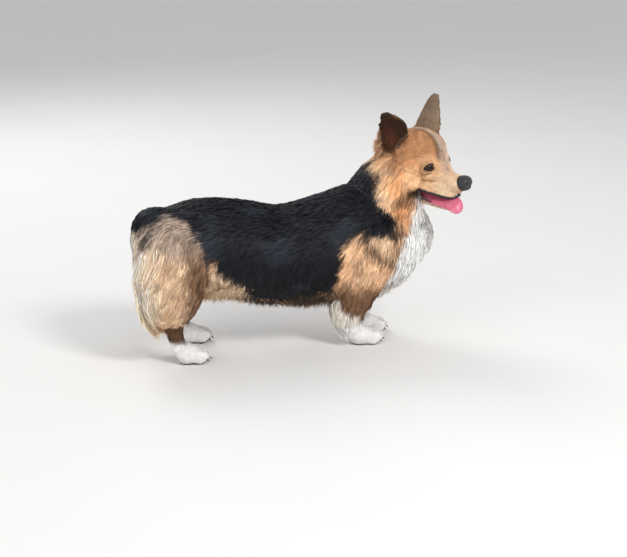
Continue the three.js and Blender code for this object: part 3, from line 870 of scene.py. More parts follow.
    def paws(self):
        """White paws, with painted shade in a line between neighbouring toes."""
        x, y, _ = self.p.T
        paw, is_fore, is_left = self.on("paw"), x > 0, y > 0
        self.colour[paw] = self.mix(white=1)
        pitch = np.where(is_fore, TOE_PITCH, TOE_PITCH * HIND_PAW_SCALE)
        toe = (np.abs(y) - np.where(is_fore, FORE_TRACK, HIND_TRACK)) / pitch
        palm = np.where(is_fore, FORE_PAW_AT + FORE_STRIDE * is_left, HIND_PAW_AT + HIND_STRIDE * is_left)
        from_gap = toe - np.clip(np.round(toe), -1, 1)
        # Painted shade: a greyer line along the creases between neighbouring toes, ahead of the palm
        between = np.exp(-((from_gap / 0.13) ** 2)) * smooth_step(x - palm, 6, 20)
        self.lay(srgb(158, 140, 128), 0.6 * between * paw)

    def bib_and_saddle(self):
        """The dark line of the front, the white throat and bib, the black saddle with a painted bluish sheen in
        patches, and the fringe under it.
        """
        x, y, z = self.p.T
        trunk = self.on("torso", "neck", "arm", "tail", "thigh")
        edge = outline_distance(self.plane, FRONT_LINE, False)
        self.lay(self.mix(dark=1), 0.85 * (1 - smooth_step(edge, 3, 10)) * trunk)
        throat = (self.on("neck") & (x > 215)) * (1 - smooth_step(np.abs(y + 12) + 0.5 * self.rag, 14, 30))
        self.lay(self.mix(white=1), throat * (1 - smooth_step(z, 275, 300)))
        self.lay(self.mix(white=1), (1 - smooth_step(outline_distance(self.plane, BIB), -3, 3)) * trunk)
        # Painted sheen: bluish grey patches laid on the black stand for the sky's reflection on the coat
        painted_sheen = smooth_step(waves(self.p, 34, 9), 0, 1) * 0.1
        black = blend(self.all_over(self.mix(black=1)), srgb(92, 102, 122), painted_sheen)
        self.lay(black, (1 - smooth_step(outline_distance(self.plane, SADDLE), -7, 3)) * trunk)
        notch = np.hypot((self.plane[:, 0] - 192) / 16, (self.plane[:, 1] - 217) / 9)
        self.lay(self.mix(dark=0.7, black=0.3), 0.9 * (1 - smooth_step(notch, 0.7, 1.2)) * trunk)
        under_edge = smooth_step(-(z + 0.5 * self.rag), -112, -98) * self.on("torso")
        under_edge = under_edge * smooth_step(x, -110, -60) * (x < 150)
        fringe = self.all_over(self.mix(dark=0.5, black=0.5))
        fringe = blend(fringe, self.mix(brown=1), 0.7 * smooth_step(self.streak, 0, 0.8))
        self.lay(fringe, 0.9 * under_edge * (1 - smooth_step(-self.n[:, 2], 0.93, 1.0)))

    def face(self):
        """Tan, with a pale muzzle, a pale band down the middle with a dark edge, and a spot on each cheek."""
        hx, hy, hz = self.h.T
        head = self.on(*HEAD_FORMS)
        body, self.colour = self.colour, self.all_over(self.mix(tan=1))
        muzzle = smooth_step(hx - 0.25 * hz, 42, 72)
        self.lay(self.mix(tan=0.5, brown=0.5), 0.75 * smooth_step(hz - 0.15 * hx, -6, 14))
        self.lay(self.mix(pale=0.5, cream=0.5), 0.9 * muzzle)
        self.lay(self.mix(pale=0.6, cream=0.4), 0.75 * smooth_step(-hz, 10, 30) * smooth_step(hx, 4, 40))
        self.lay(self.mix(cream=1), 0.5 * self.on("lip") * smooth_step(hx, 30, 70))
        under_eye = smooth_step(-hz + 0.3 * hx, -4, 16) * smooth_step(hx, -30, 0)
        self.lay(srgb(253, 208, 160), 0.6 * under_eye * (1 - muzzle))
        self.lay(srgb(252, 218, 182), 0.5 * muzzle)
        crown = smooth_step(hz, 18, 44)
        self.lay(self.mix(brown=1), crown * 0.6 * smooth_step(waves(self.h, 9, 12), -0.4, 1))
        self.colour = self.colour * (1 + 0.16 * self.fine)[:, None]
        self.lay(self.mix(brown=1), 0.3 * smooth_step(waves(self.h, 17, 22), 0, 1) * (1 - muzzle))
        # The band is wider on the left, and the stripe runs along its right edge
        line = np.interp(hx, [0, 25, 39, 46, 60], [4, 7, 11, 15, 17])
        from_middle = np.where(hy > 0, 0.45 * hy, -hy)
        band = (1 - smooth_step(from_middle - line, -2, 1)) * smooth_step(hx, -36, -10)
        self.lay(srgb(216, 190, 168), 0.85 * (band * (1 - smooth_step(hx, 48, 66))))
        stripe = (1 - smooth_step(np.abs(-hy - line), 1.5, 5)) * smooth_step(hx, -14, 4)
        self.lay(self.mix(dark=1), 0.75 * (stripe * smooth_step(hz, -4, 8)) * (1 - smooth_step(hx, 42, 54)))
        from_eye = np.linalg.norm(np.stack([hx, np.abs(hy), hz], 1) - np.array(EYE_AT), axis=1)
        ring = 1 - smooth_step(np.abs(from_eye - 19), 2, 7)
        self.lay(self.mix(pale=1), 0.5 * ring * smooth_step(hz, -2, 8))
        # The nape goes on from the ruff: pale first, then the saddle's black
        behind_ruff = -self.p[:, 0] + self.ruff_back
        self.lay(self.mix(pale=0.8, brown=0.2), 0.9 * smooth_step(behind_ruff + 0.4 * self.rag, -34, -10))
        self.lay(self.mix(black=1), smooth_step(behind_ruff + 0.6 * self.rag, -4, 4))
        self.lay(self.mix(cream=1), self.on("jaw") * 0.9)
        self.colour = np.where(head[:, None], self.colour, body)
        from_spot = np.linalg.norm((self.h - np.array([6, 0, -60])) * np.array([0.8, 0, 0.6]), axis=1)
        spot = (1 - smooth_step(from_spot, 5, 13)) * (np.abs(hy) > 30) * (head | self.on("neck"))
        self.lay(self.mix(dark=0.8, brown=0.2), 0.95 * spot)

    def ears(self):
        """Grey-brown outside, pale behind, the hollow darkened by painted shade round a reddish middle, brown
        streaks below.
        """
        hx, hy, hz = self.h.T
        shell = self.all_over(srgb(156, 132, 108))
        dark = self.mix(dark=1)
        shell = blend(shell, dark, 0.3 * smooth_step(hz, 60, 95) + 0.5 * (1 - smooth_step(hz, 28, 46)))
        facing_back = smooth_step(-(self.n @ HEAD_AXES)[:, 0], 0.2, 0.6)
        behind = facing_back * (1 - smooth_step(hz, 60, 86)) * smooth_step(-hx, 42, 54)
        shell = blend(shell, self.mix(pale=0.6, brown=0.4), behind)
        ear, hollow = self.on("ear"), self.on("hollow")
        self.colour[ear] = shell[ear]
        # Painted shade: dark brown over the hollow stands for the shade inside the cupped ear
        hollow_shade = 1 - smooth_step(outline_distance(self.h[:, [0, 2]], HOLLOW), -3, 3)
        cup = blend(self.all_over(self.mix(brown=0.6, tan=0.4)), dark, hollow_shade)
        middle = np.exp(-(((hx + 34) / 13) ** 2) - ((hz - 40) / 24) ** 2)
        cup = blend(cup, srgb(118, 66, 50), 0.8 * middle)
        low = 0.5 * (1 - smooth_step(hz, 10, 26))
        cup = blend(cup, srgb(128, 96, 86), low * smooth_step(self.fine, -0.8, 0.6))
        self.colour[hollow] = cup[hollow]
        self.lay(cup, smooth_step(cup_share(self.h, self.n), 0.2, 0.7))
        below = np.exp(-(((hx + 22) / 13) ** 2) - ((hz + 4) / 18) ** 2) * (np.abs(hy) > 34)
        streaks = smooth_step(waves(self.p * np.array([1, 1, 0.4]), 7, 6), -1.0, 0.2)
        self.lay(self.mix(dark=0.6, brown=0.4), 0.9 * below * self.on(*HEAD_FORMS, "neck") * streaks)


def markings(label, p, n, palette):
    """The coat's colour at each place: the regions laid on from the trunk outwards to the ears."""
    coat = Markings(label, p, n, palette)
    for region in (
        coat.trunk, coat.neck, coat.arms, coat.trousers, coat.legs, coat.paws, coat.bib_and_saddle, coat.face,
        coat.ears,
    ):
        region()
    return coat.colour


# ---- Materials


def nodes_of(name, colour, roughness, specular=0.5):
    """A new material and its shader, with its own plain settings."""
    material = bpy.data.materials.new(name)
    material.use_nodes = True
    shader = material.node_tree.nodes["Principled BSDF"]
    shader.inputs["Base Color"].default_value = (*colour, 1)
    shader.inputs["Roughness"].default_value = roughness
    shader.inputs["Specular IOR Level"].default_value = specular
    return material, material.node_tree, shader


def add(tree, kind, **inputs):
    """A new node with its named inputs set, or linked where the value is a socket."""
    node = tree.nodes.new(kind)
    for key, value in inputs.items():
        socket = node.inputs[key.replace("_", " ")]
        if isinstance(value, bpy.types.NodeSocket):
            tree.links.new(value, socket)
        else:
            socket.default_value = value
    return node


def bump(tree, shader, height, strength, distance):
    """Turns a height into the shader's bump, distance in metres."""
    node = add(tree, "ShaderNodeBump", Height=height, Strength=strength, Distance=distance)
    tree.links.new(node.outputs["Normal"], shader.inputs["Normal"])


def object_noise(tree, scale, detail=3.0):
    """Noise on the piece's own coordinates, cells 1/scale metres across."""
    place = tree.nodes.new("ShaderNodeTexCoord").outputs["Object"]
    return add(tree, "ShaderNodeTexNoise", Vector=place, Scale=scale, Detail=detail).outputs["Fac"]


def painted_colour(tree, layer):
    """The colour that the piece's own mesh keeps under that name."""
    own = tree.nodes.new("ShaderNodeVertexColor")
    own.layer_name = layer
    return own.outputs["Color"]


def mottled(tree, shader, scale, first, second):
    """Blends the shader's colour between two by noise, cells 1/scale metres across."""
    blended = add(tree, "ShaderNodeMix")
    blended.data_type = "RGBA"
    tree.links.new(object_noise(tree, scale), blended.inputs["Factor"])
    colours = [socket for socket in blended.inputs if socket.type == "RGBA"]
    colours[0].default_value = (*first, 1)
    colours[1].default_value = (*second, 1)
    result = next(socket for socket in blended.outputs if socket.type == "RGBA")
    tree.links.new(result, shader.inputs["Base Color"])


def hair_material():
    """Hair that takes its colour from the piece's own attribute, a little lighter and darker in streaks. All
    the tufts share it."""
    if "hair" in bpy.data.materials:
        return bpy.data.materials["hair"]
    material, tree, shader = nodes_of("hair", (0.5, 0.3, 0.2), 0.55, 0.2)
    ramp = add(tree, "ShaderNodeMapRange", Value=object_noise(tree, 260), To_Min=0.86, To_Max=1.14)
    scaled = tree.nodes.new("ShaderNodeVectorMath")
    scaled.operation = "SCALE"
    tree.links.new(painted_colour(tree, "coat_colour"), scaled.inputs[0])
    tree.links.new(ramp.outputs["Result"], scaled.inputs["Scale"])
    tree.links.new(scaled.outputs["Vector"], shader.inputs["Base Color"])
    shader.inputs["Sheen Weight"].default_value = 0.03
    shader.inputs["Sheen Roughness"].default_value = 0.4
    return material


def skin_material():
    """Skin under the coat in the coat's markings, with a fine grain of short fur in the bump."""
    material, tree, shader = nodes_of("skin", (0.5, 0.35, 0.25), 0.7, 0.25)
    tree.links.new(painted_colour(tree, "coat_colour"), shader.inputs["Base Color"])
    bump(tree, shader, object_noise(tree, 700, 4), 0.5, 0.0006)
    return material


# ---- Skin


# The skin is painted a little darker than the coat over it: painted shade for the depth between tufts.
SKIN_PAINTED_SHADE = 0.85
# No hair grows inside this far from the eye's axis, where the lids have their own.
BARE_EYE = 16.5


def palette_of(sizes):
    """The user's colours as rows, in the order of COLOUR_NAMES."""
    return np.array([list(getattr(sizes, name))[:3] for name in COLOUR_NAMES])


def ground_for_coat(points, faces, **values):
    """What build_coat needs of a surface: its mesh, its values at each point, and a tree to search it."""
    return {
        "points": points, "faces": faces, **values,
        "tree": BVHTree.FromPolygons(points.tolist(), faces.tolist()),
    }


def build_skin(sizes):
    """Fuses the forms, smooths them, and works out the lie, sizes and colour of the coat at each point."""
    forms = body_forms()
    points, faces = fused(forms, sizes.voxel)
    edges = edges_of(faces)
    label, place = nearest_form(points, forms)
    label[on_forms(label, "ear") & (place[:, 1] < 0.5)] = LABELS.index("hollow")
    fine = on_forms(label, "lip", "ear", "hollow", "brow", "paw", "jaw", "skull")
    calm = relaxed(np.where(fine, 0.2, 1.0), edges, 8)
    points = relaxed(points, edges, 14, 0.5, calm)
    points = sunk_ears(points, faces, label, edges)
    points[:, 2] = np.maximum(points[:, 2], 0.2)
    normal = point_normals(points, faces)
    h = to_head(points)
    lie = unit(relaxed(lie_of(label, points, normal, h), edges, 14))
    coat = relaxed(coat_of(label, points, normal, h), edges, 8)
    # A marking is where the coat shows it, which is half a tuft on from the root
    flat = unit(lie - dot(lie, normal) * normal)
    shown = points + flat * (0.5 * coat[:, :1]) + normal * (0.5 * coat[:, 2:3])
    colour = relaxed(markings(label, shown, normal, palette_of(sizes)), edges, 2)
    inside = mouth_share(h, normal)
    colour = blend(colour, srgb(92, 40, 42), inside)
    pads = (points[:, 2] < 4) & (normal[:, 2] < -0.5)
    colour[pads] = srgb(40, 34, 34)
    skin = make_object("skin", metres(points), faces, skin_material())
    paint(skin, "coat_colour", colour * SKIN_PAINTED_SHADE)
    piece(skin, "coat_tan", *FLESH)
    coat[:, 4] *= 1 - inside
    for side, _ in SIDES:
        axis, inner, rise = eye_axes(side)
        away = h - eye_centre(side)
        from_axis = np.hypot(away @ inner, away @ rise / LID_FLATNESS)
        coat[:, 4] *= np.where((away @ axis > -4) & (from_axis < BARE_EYE), 0, 1)
    built["skin"] = ground_for_coat(
        points, faces, normal=normal, label=label, place=place, lie=lie, coat=coat, colour=colour
    )
    return skin


def sunk_ears(points, faces, label, edges):
    """The head pressed in by a bell under each ear's hollow, so that the hollow runs down on to the head. The
    ear itself stays, since its wall is thinner than the bell is deep."""
    normal = point_normals(points, faces)
    outward = smooth_step(np.abs((normal @ HEAD_AXES)[:, 1]), 0.1, 0.5)
    on_head = relaxed(on_forms(label, "skull", "cheek").astype(float), edges, 6)
    depth = 9 * np.exp(-1.2 * ear_bowl(to_head(points))) * outward * on_head
    return points - normal * depth[:, None]


def mouth_share(h, normal):
    """1 on the palate and on the floor of the mouth, and 0 outside it."""
    turned = normal @ HEAD_AXES
    hx, hy, hz = h.T
    wide = np.interp(hx, [-4, 20, 50, 76], [34, 29, 17, 9])
    between = smooth_step(hx, -6, 6) * (1 - smooth_step(hx, 76, 81)) * (np.abs(hy) < wide)
    level = np.interp(hx, [0, 20, 52, 76], [-56, -61, -71, -73])
    palate = smooth_step(-turned[:, 2], 0.1, 0.5) * (np.abs(hz - level) < 13)
    floor = smooth_step(turned[:, 2], 0.3, 0.7) * (hz < level + 2)
    return between * np.maximum(palate * (hz > level - 6), floor)


# ---- Eyes, nose, mouth and claws


NOSE = [
    (73, 0, -34, 9, 8, 13),
    (78, 0, -34.5, 13, 10.5, 15.5),
    (84, 0, -35.5, 15.5, 12.8, 17),
    (90, 0, -36.5, 15.2, 13, 15.5),
    (95, 0, -38, 12.8, 11.5, 12.5),
    (98, 0, -38.5, 8.8, 8.4, 8.8),
    (99.2, 0, -38.5, 3.4, 3.4, 3.4),
]
TONGUE = [
    (2, -6, -58, 8, 2, 2),
    (14, -9, -61, 18, 3, 3),
    (34, -11, -67, 18, 3.2, 3.2),
    (52, -12, -71, 17.5, 3.4, 3.4),
    (65, -13, -73, 17, 3.6, 3.6),
    (72, -14.5, -76, 17, 3.4, 3.4),
    (77, -15.8, -79.5, 16.2, 3.2, 3.2),
    (80.6, -16.6, -83.5, 14.5, 2.9, 2.9),
    (82.8, -17.1, -86.8, 11.5, 2.5, 2.5),
    (84, -17.4, -89, 7.2, 1.9, 1.9),
    (84.5, -17.5, -90, 2.5, 1, 1),
]
UPPER_LIP = [
    (5, 38.5, -48),
    (20, 34.5, -51.5),
    (36, 27.2, -57),
    (52, 21.6, -61.5),
    (62, 17.4, -63.5),
    (69, 12.6, -63.8),
    (73, 6.8, -63),
    (74.5, 0, -61.8),
]
LOWER_LIP = [
    (5, 38, -50),
    (12, 34, -61),
    (24, 28, -70),
    (38, 21.5, -76),
    (52, 17.2, -79.5),
    (64, 14, -81),
    (73, 8.5, -81.5),
    (76.5, 0, -81.5),
]


def eye_centre(side):
    """The middle of an eyeball in the head frame."""
    return np.array([EYE_AT[0], side * EYE_AT[1], EYE_AT[2]])


def eye_axes(side):
    """The eye's axis, its way to the nose and its way up, in the head frame, with the outer corner raised."""
    axis = np.array([math.cos(EYE_TURN), side * math.sin(EYE_TURN), 0.06])
    axis /= np.linalg.norm(axis)
    inner = np.cross([0, 0, side], axis)
    inner /= np.linalg.norm(inner)
    rise = np.cross(axis, inner) * side
    rise *= np.sign(rise[2])
    c, s = math.cos(EYE_SLANT), math.sin(EYE_SLANT)
    return axis, inner * c + rise * s, rise * c - inner * s


def on_ball(side, x, y, radius, spread=False):
    """A point on a ball round the eye: x radians towards the nose and y up from the axis. Spread points leave
    the ball past 0.9 radians along a straight slope, as the corners of the lids do."""
    axis, inner, rise = eye_axes(side)
    r = np.maximum(np.hypot(x, y), 1e-6)
    past = np.maximum(r - 0.9, 0) * spread
    deep, out = np.cos(r - past) - 0.6 * past, np.sin(r - past) + 0.85 * past
    way = deep[..., None] * axis + (out / r)[..., None] * (x[..., None] * inner + y[..., None] * rise)
    return eye_centre(side) + way * np.asarray(radius)[..., None]


def build_eye(side, name):
    """An eyeball as rings round its axis, with the cornea standing out as a low bell, painted ring by ring:
    the pupil, a brown iris of fine rays, its dark edge, and the white."""
    rings, sides = np.linspace(0.02, math.pi - 0.02, 72), np.linspace(0, 2 * math.pi, 64, False)
    turn, around = np.meshgrid(rings, sides, indexing="ij")
    radius = EYE_RADIUS - 0.2 + 0.8 * np.exp(-((turn / 0.5) ** 2))
    grid = from_head(on_ball(side, turn * np.cos(around), turn * np.sin(around), radius))
    points, faces = closed(grid)
    ring = turn.ravel()
    rays = 0.5 + 0.5 * np.sin(around.ravel() * 23 + 3 * np.sin(around.ravel() * 7))
    iris = 0.75 + 0.7 * rays * smooth_step(ring, 0.25, 0.55)
    colour = np.tile(srgb(52, 27, 14), (ring.size, 1)) * iris[:, None]
    colour = blend(colour, srgb(8, 6, 6), 1 - smooth_step(ring, 0.24, 0.3))
    colour = blend(colour, srgb(14, 9, 8), smooth_step(ring, 0.6, 0.72))
    colour = blend(colour, srgb(120, 96, 84), smooth_step(ring, 0.84, 0.98))
    colour = np.vstack([colour, colour[0], colour[-1]])
    material, tree, shader = nodes_of(f"eye_{name}", (0.05, 0.02, 0.01), 0.06, 0.32)
    tree.links.new(painted_colour(tree, "eye_colour"), shader.inputs["Base Color"])
    item = make_object(f"eyeball_{name}", metres(points), faces, material)
    paint(item, "eye_colour", colour)
    return piece(item, "eye", f"eye_{name}")


def build_lids(side, name, sizes):
    """Both lids as rings round an almond opening: a dark wet rim on the ball, a rolled edge, and a slope out
    to the skin. The almond is W cos a across, and H sin a |sin a|^0.5 up, lower at the inner corner."""
    skin = need_skin()
    sides, rings = 96, 25
    a = np.linspace(0, 2 * math.pi, sides, endpoint=False)
    cos_a, sin_a = np.cos(a), np.sin(a)
    wide = np.where(cos_a > 0, 1.0, 1.12) * cos_a
    tall = np.where(sin_a > 0, 0.55, 0.46) * sin_a * np.abs(sin_a) ** 0.5
    tall = tall - 0.1 * np.clip(cos_a, 0, 1) ** 4
    # Each row on the ball: how far out it lies beside the opening, and its height over the eyeball
    on_eye = ((0.9, -0.7), (1.0, 0.5), (1.08, 1.2), (1.2, 1.6), (1.34, 1.4))
    rows = [on_ball(side, wide * k, tall * k, np.full(sides, EYE_RADIUS + lift), True) for k, lift in on_eye]
    axis, inner, rise = eye_axes(side)
    away = cos_a[:, None] * inner + sin_a[:, None] * rise * LID_FLATNESS
    outer = eye_centre(side) + 6 * axis + LID_REACH * away
    landed = np.array([tuple(skin["tree"].find_nearest(p)[0]) for p in from_head(outer).tolist()])
    landed = to_head(landed) - 0.8 * axis
    rows += [rows[-1] + (landed - rows[-1]) * 0.5 + 0.5 * axis, landed]
    share = np.linspace(0, 1, rings)
    grid = spline(np.stack(rows).reshape(len(rows), -1), share)
    points = from_head(grid.reshape(-1, 3))
    faces = walls_of(rings, sides)
    corners = points[faces]
    normal = np.cross(corners[:, 1] - corners[:, 0], corners[:, 2] - corners[:, 0])
    if (normal @ (axis @ HEAD_AXES.T)).sum() < 0:
        faces = faces[:, ::-1]
    normal = point_normals(points, faces)
    label = np.full(len(points), LABELS.index("skull"))
    along = np.repeat(share, sides)
    colour = markings(label, points, normal, palette_of(sizes))
    colour = blend(colour, srgb(92, 58, 36), 0.75 * (1 - smooth_step(along, 0.42, 0.8)))
    colour = blend(colour, srgb(24, 17, 16), 1 - smooth_step(along, 0.36, 0.52))
    item = make_object(f"lids_{name}", metres(points), faces, skin_material())
    paint(item, "coat_colour", colour)
    piece(item, "coat_tan")
    coat = np.tile([4.5, 0.7, 0.8, 0, 1], (len(points), 1))
    coat[:, 4] = smooth_step(along, 0.5, 0.66)
    place = np.stack([along, np.tile(a / (2 * math.pi), rings)], 1)
    lie = unit(lie_of(label, points, normal, to_head(points)))
    return ground_for_coat(
        points, faces, normal=normal, label=label, place=place, lie=lie, coat=coat, colour=colour
    )


def build_nose():
    """The nose as rings, pressed in by bells at the two nostrils and their slits, and by a groove below."""
    grid = rings_of(NOSE, 90, 96, squareness=0.96)
    x, y, z = grid[..., 0], grid[..., 1], grid[..., 2]
    s = np.abs(y)
    bell = np.exp(-(((s - 6.8) / 2.9) ** 2) - ((z + 39) / 3.4) ** 2) * smooth_step(x, 87, 93)
    slit_z = z + 42.5 + 0.25 * (x - 91)
    slit = np.exp(-(((x - 91) / 3.6) ** 2) - (slit_z / 1.7) ** 2) * smooth_step(s, 7, 10)
    groove = np.exp(-((y / 0.8) ** 2)) * smooth_step(-z, 38, 42) * smooth_step(x, 83, 89)
    wing = np.exp(-(((s - 10.6) / 2.4) ** 2) - ((z + 36) / 3.2) ** 2) * smooth_step(x, 87, 92)
    grid[..., 0] += -5.4 * bell - 1.4 * groove + 0.9 * wing
    grid[..., 1] -= np.sign(y) * 2.2 * slit
    points, faces = closed(from_head(grid))
    material, tree, shader = nodes_of("nose_leather", srgb(42, 41, 45), 0.36, 0.5)
    place = tree.nodes.new("ShaderNodeTexCoord").outputs["Object"]
    cells = add(tree, "ShaderNodeTexVoronoi", Vector=place, Scale=900.0)
    bump(tree, shader, cells.outputs["Distance"], 0.5, 0.0004)
    shade = add(tree, "ShaderNodeMapRange", Value=object_noise(tree, 300), To_Min=0.3, To_Max=0.48)
    tree.links.new(shade.outputs["Result"], shader.inputs["Roughness"])
    item = make_object("nose_leather", metres(points), faces, material)
    return piece(item, "nose", "nose")


def lip_tube(stations, wide, tall):
    """An oval tube along a lip, from one corner of the mouth round the chin or nose to the other."""
    right = [(x, -y, z) for x, y, z in stations]
    line = np.array(right + stations[-2::-1], float)
    t = np.linspace(0, 1, 121)
    centre = spline(line, t)
    along = unit(spline(line, t, slope=True))
    side = unit(np.cross(along, [0, 0, 1.0]))
    up = np.cross(side, along)
    angle = np.linspace(0, 2 * math.pi, 16, endpoint=False)
    fade = 0.45 + 0.55 * np.sin(math.pi * np.clip(t, 0.02, 0.98)) ** 0.35
    ripple = 1 + 0.1 * np.sin(46 * t * math.pi) * smooth_step(np.abs(t - 0.5), 0.1, 0.3)
    grid = centre[:, None] + (side[:, None] * (wide * fade)[:, None, None] * np.cos(angle)[None, :, None])
    grid = grid + up[:, None] * (tall * fade * ripple)[:, None, None] * np.sin(angle)[None, :, None]
    return closed(from_head(grid))


def build_mouth():
    """The dark lips and the tongue. The tongue is a flat oval carried along its line, with a groove down it,
    and its sides curl up by the square of the share out to them."""
    points, faces = joined([lip_tube(UPPER_LIP, 1.7, 2.3), lip_tube(LOWER_LIP, 1.5, 1.7)])
    material, tree, shader = nodes_of("lip_skin", srgb(40, 28, 28), 0.42, 0.5)
    bump(tree, shader, object_noise(tree, 500), 0.4, 0.0005)
    lips = make_object("lips", metres(points), faces, material)
    piece(lips, "nose")
    grid = rings_of(TONGUE, 110, 56, across=(0, 0.84, 0.54))
    middle = grid.mean(1, keepdims=True)
    rings, sides = grid.shape[:2]
    t = np.linspace(0, 1, rings)[:, None]
    side = np.linalg.norm(grid - middle, axis=2)
    half = side.max(1, keepdims=True)
    top = np.arange(sides)[None, :] < sides // 2
    centre_share = np.exp(-((side / (0.28 * half)) ** 2)) * top
    sink = 1.5 * centre_share * smooth_step(t, 0.1, 0.3) * (1 - smooth_step(t, 0.88, 1))
    grid = grid + (middle - grid) * np.minimum(sink / np.maximum(side, 1), 0.6)[..., None]
    grid[..., 2] += 1.6 * (side / half) ** 2 * smooth_step(t, 0.1, 0.3) * (1 - smooth_step(t, 0.7, 1))
    points, faces = closed(from_head(grid))
    material, tree, shader = nodes_of("tongue_flesh", srgb(222, 112, 134), 0.34, 0.5)
    mottled(tree, shader, 90, srgb(202, 92, 118), srgb(210, 118, 138))
    bump(tree, shader, object_noise(tree, 1400), 0.35, 0.0004)
    tongue = make_object("tongue_flesh", metres(points), faces, material)
    piece(tongue, "tongue", "tongue")


def build_claws():
    """Sixteen claws: rings that shrink along a line bent down to the floor."""
    parts = []
    for x, y, scale in paws_of(-1) + paws_of(1):
        for _, toe_y, reach in toes_of(y, scale):
            tip = x + reach
            claw = [
                (tip - 6, toe_y, 10.5, 2.3, 2.7),
                (tip - 2, toe_y, 9.6, 2.0, 2.3),
                (tip + 1.5, toe_y, 7.6, 1.4, 1.6),
                (tip + 4, toe_y, 5.0, 0.45, 0.5),
            ]
            parts.append(closed(rings_of(claw, 12, 12)))
    points, faces = joined(parts)
    material, tree, shader = nodes_of("claw_horn", srgb(92, 80, 72), 0.4, 0.5)
    bump(tree, shader, object_noise(tree, 600), 0.3, 0.0004)
    item = make_object("claws", metres(points), faces, material)
    return piece(item, "claw")


# ---- Coat


def blades(root, middle, tip, out, width, roll, long_form):
    """Flat tapered tufts: each is a strip along the curve that passes the middle at half way, with its width
    laid across the curve and rolled about it, and ends in a point. Returns points, triangles, the share along
    for each point, and the count of points in a tuft."""
    control = 2 * middle - 0.5 * (root + tip)
    shares = np.array([0, 0.36, 0.72]) if long_form else np.array([0, 0.5])
    widths = np.array([0.6, 1, 0.7]) if long_form else np.array([0.75, 0.85])
    count, steps = len(root), len(shares)
    t = shares[None, :, None]
    r, c, e = root[:, None], control[:, None], tip[:, None]
    line = (1 - t) ** 2 * r + 2 * t * (1 - t) * c + t**2 * e
    along = unit(2 * (1 - t) * (c - r) + 2 * t * (e - c))
    across = unit(np.cross(along, out[:, None]))
    up = np.cross(across, along)
    across = across * np.cos(roll)[:, None, None] + up * np.sin(roll)[:, None, None]
    half = 0.5 * width[:, None, None] * widths[None, :, None]
    pairs = np.stack([line - across * half, line + across * half], 2).reshape(count, steps * 2, 3)
    points = np.concatenate([pairs, tip[:, None]], 1)
    local = []
    for k in range(0, 2 * steps - 2, 2):
        local += [(k, k + 1, k + 3), (k, k + 3, k + 2)]
    local.append((2 * steps - 2, 2 * steps - 1, 2 * steps))
    size = steps * 2 + 1
    faces = (np.arange(count)[:, None, None] * size + np.array(local)[None]).reshape(-1, 3)
    share = np.concatenate([np.repeat(shares, 2), [1.0]])
    return points.reshape(-1, 3), faces, np.tile(share, count), size


def settle(tree, face_points, face_normals, p, height, loose):
    """Moves points along the nearest skin's normal until they stand at their height over it. Loose ones keep
    their own distance unless they are lower."""
    index = np.fromiter((tree.find_nearest(q)[2] for q in p.tolist()), np.int64, len(p))
    n = face_normals[index]
    away = ((p - face_points[index]) * n).sum(1)
    kept = np.clip(away, height, height + 60)
    goal = height + (kept - height) * loose
    return p + n * (goal - away)[:, None]


def sample(skin, mask, count, rng):
    """Roots on the triangles inside the mask, drawn in proportion to area times the coat's density."""
    faces = skin["faces"][mask[skin["faces"]].all(1)]
    corners = skin["points"][faces]
    area = np.linalg.norm(np.cross(corners[:, 1] - corners[:, 0], corners[:, 2] - corners[:, 0]), axis=1)
    weight = area * skin["coat"][faces, 4].mean(1)
    edge = np.cumsum(weight)
    pick = np.searchsorted(edge, (np.arange(count) + rng.random(count)) / count * edge[-1] * 0.999999)
    a, b = rng.random(count), rng.random(count)
    flip = a + b > 1
    a[flip], b[flip] = 1 - a[flip], 1 - b[flip]
    share = np.stack([1 - a - b, a, b], 1)
    return faces[pick], share


def mixed(values, corners, share):
    """Values at the roots, from the three corners of each one's triangle."""
    picked = values[corners]
    return np.einsum("ij,ij...->i...", share, picked)


# A root lies this far under the skin, and no tuft comes nearer to the floor than this.
ROOT_DEPTH = 0.8
FLOOR_GAP = 0.6
DOWN = np.array([0, 0, -1.0])


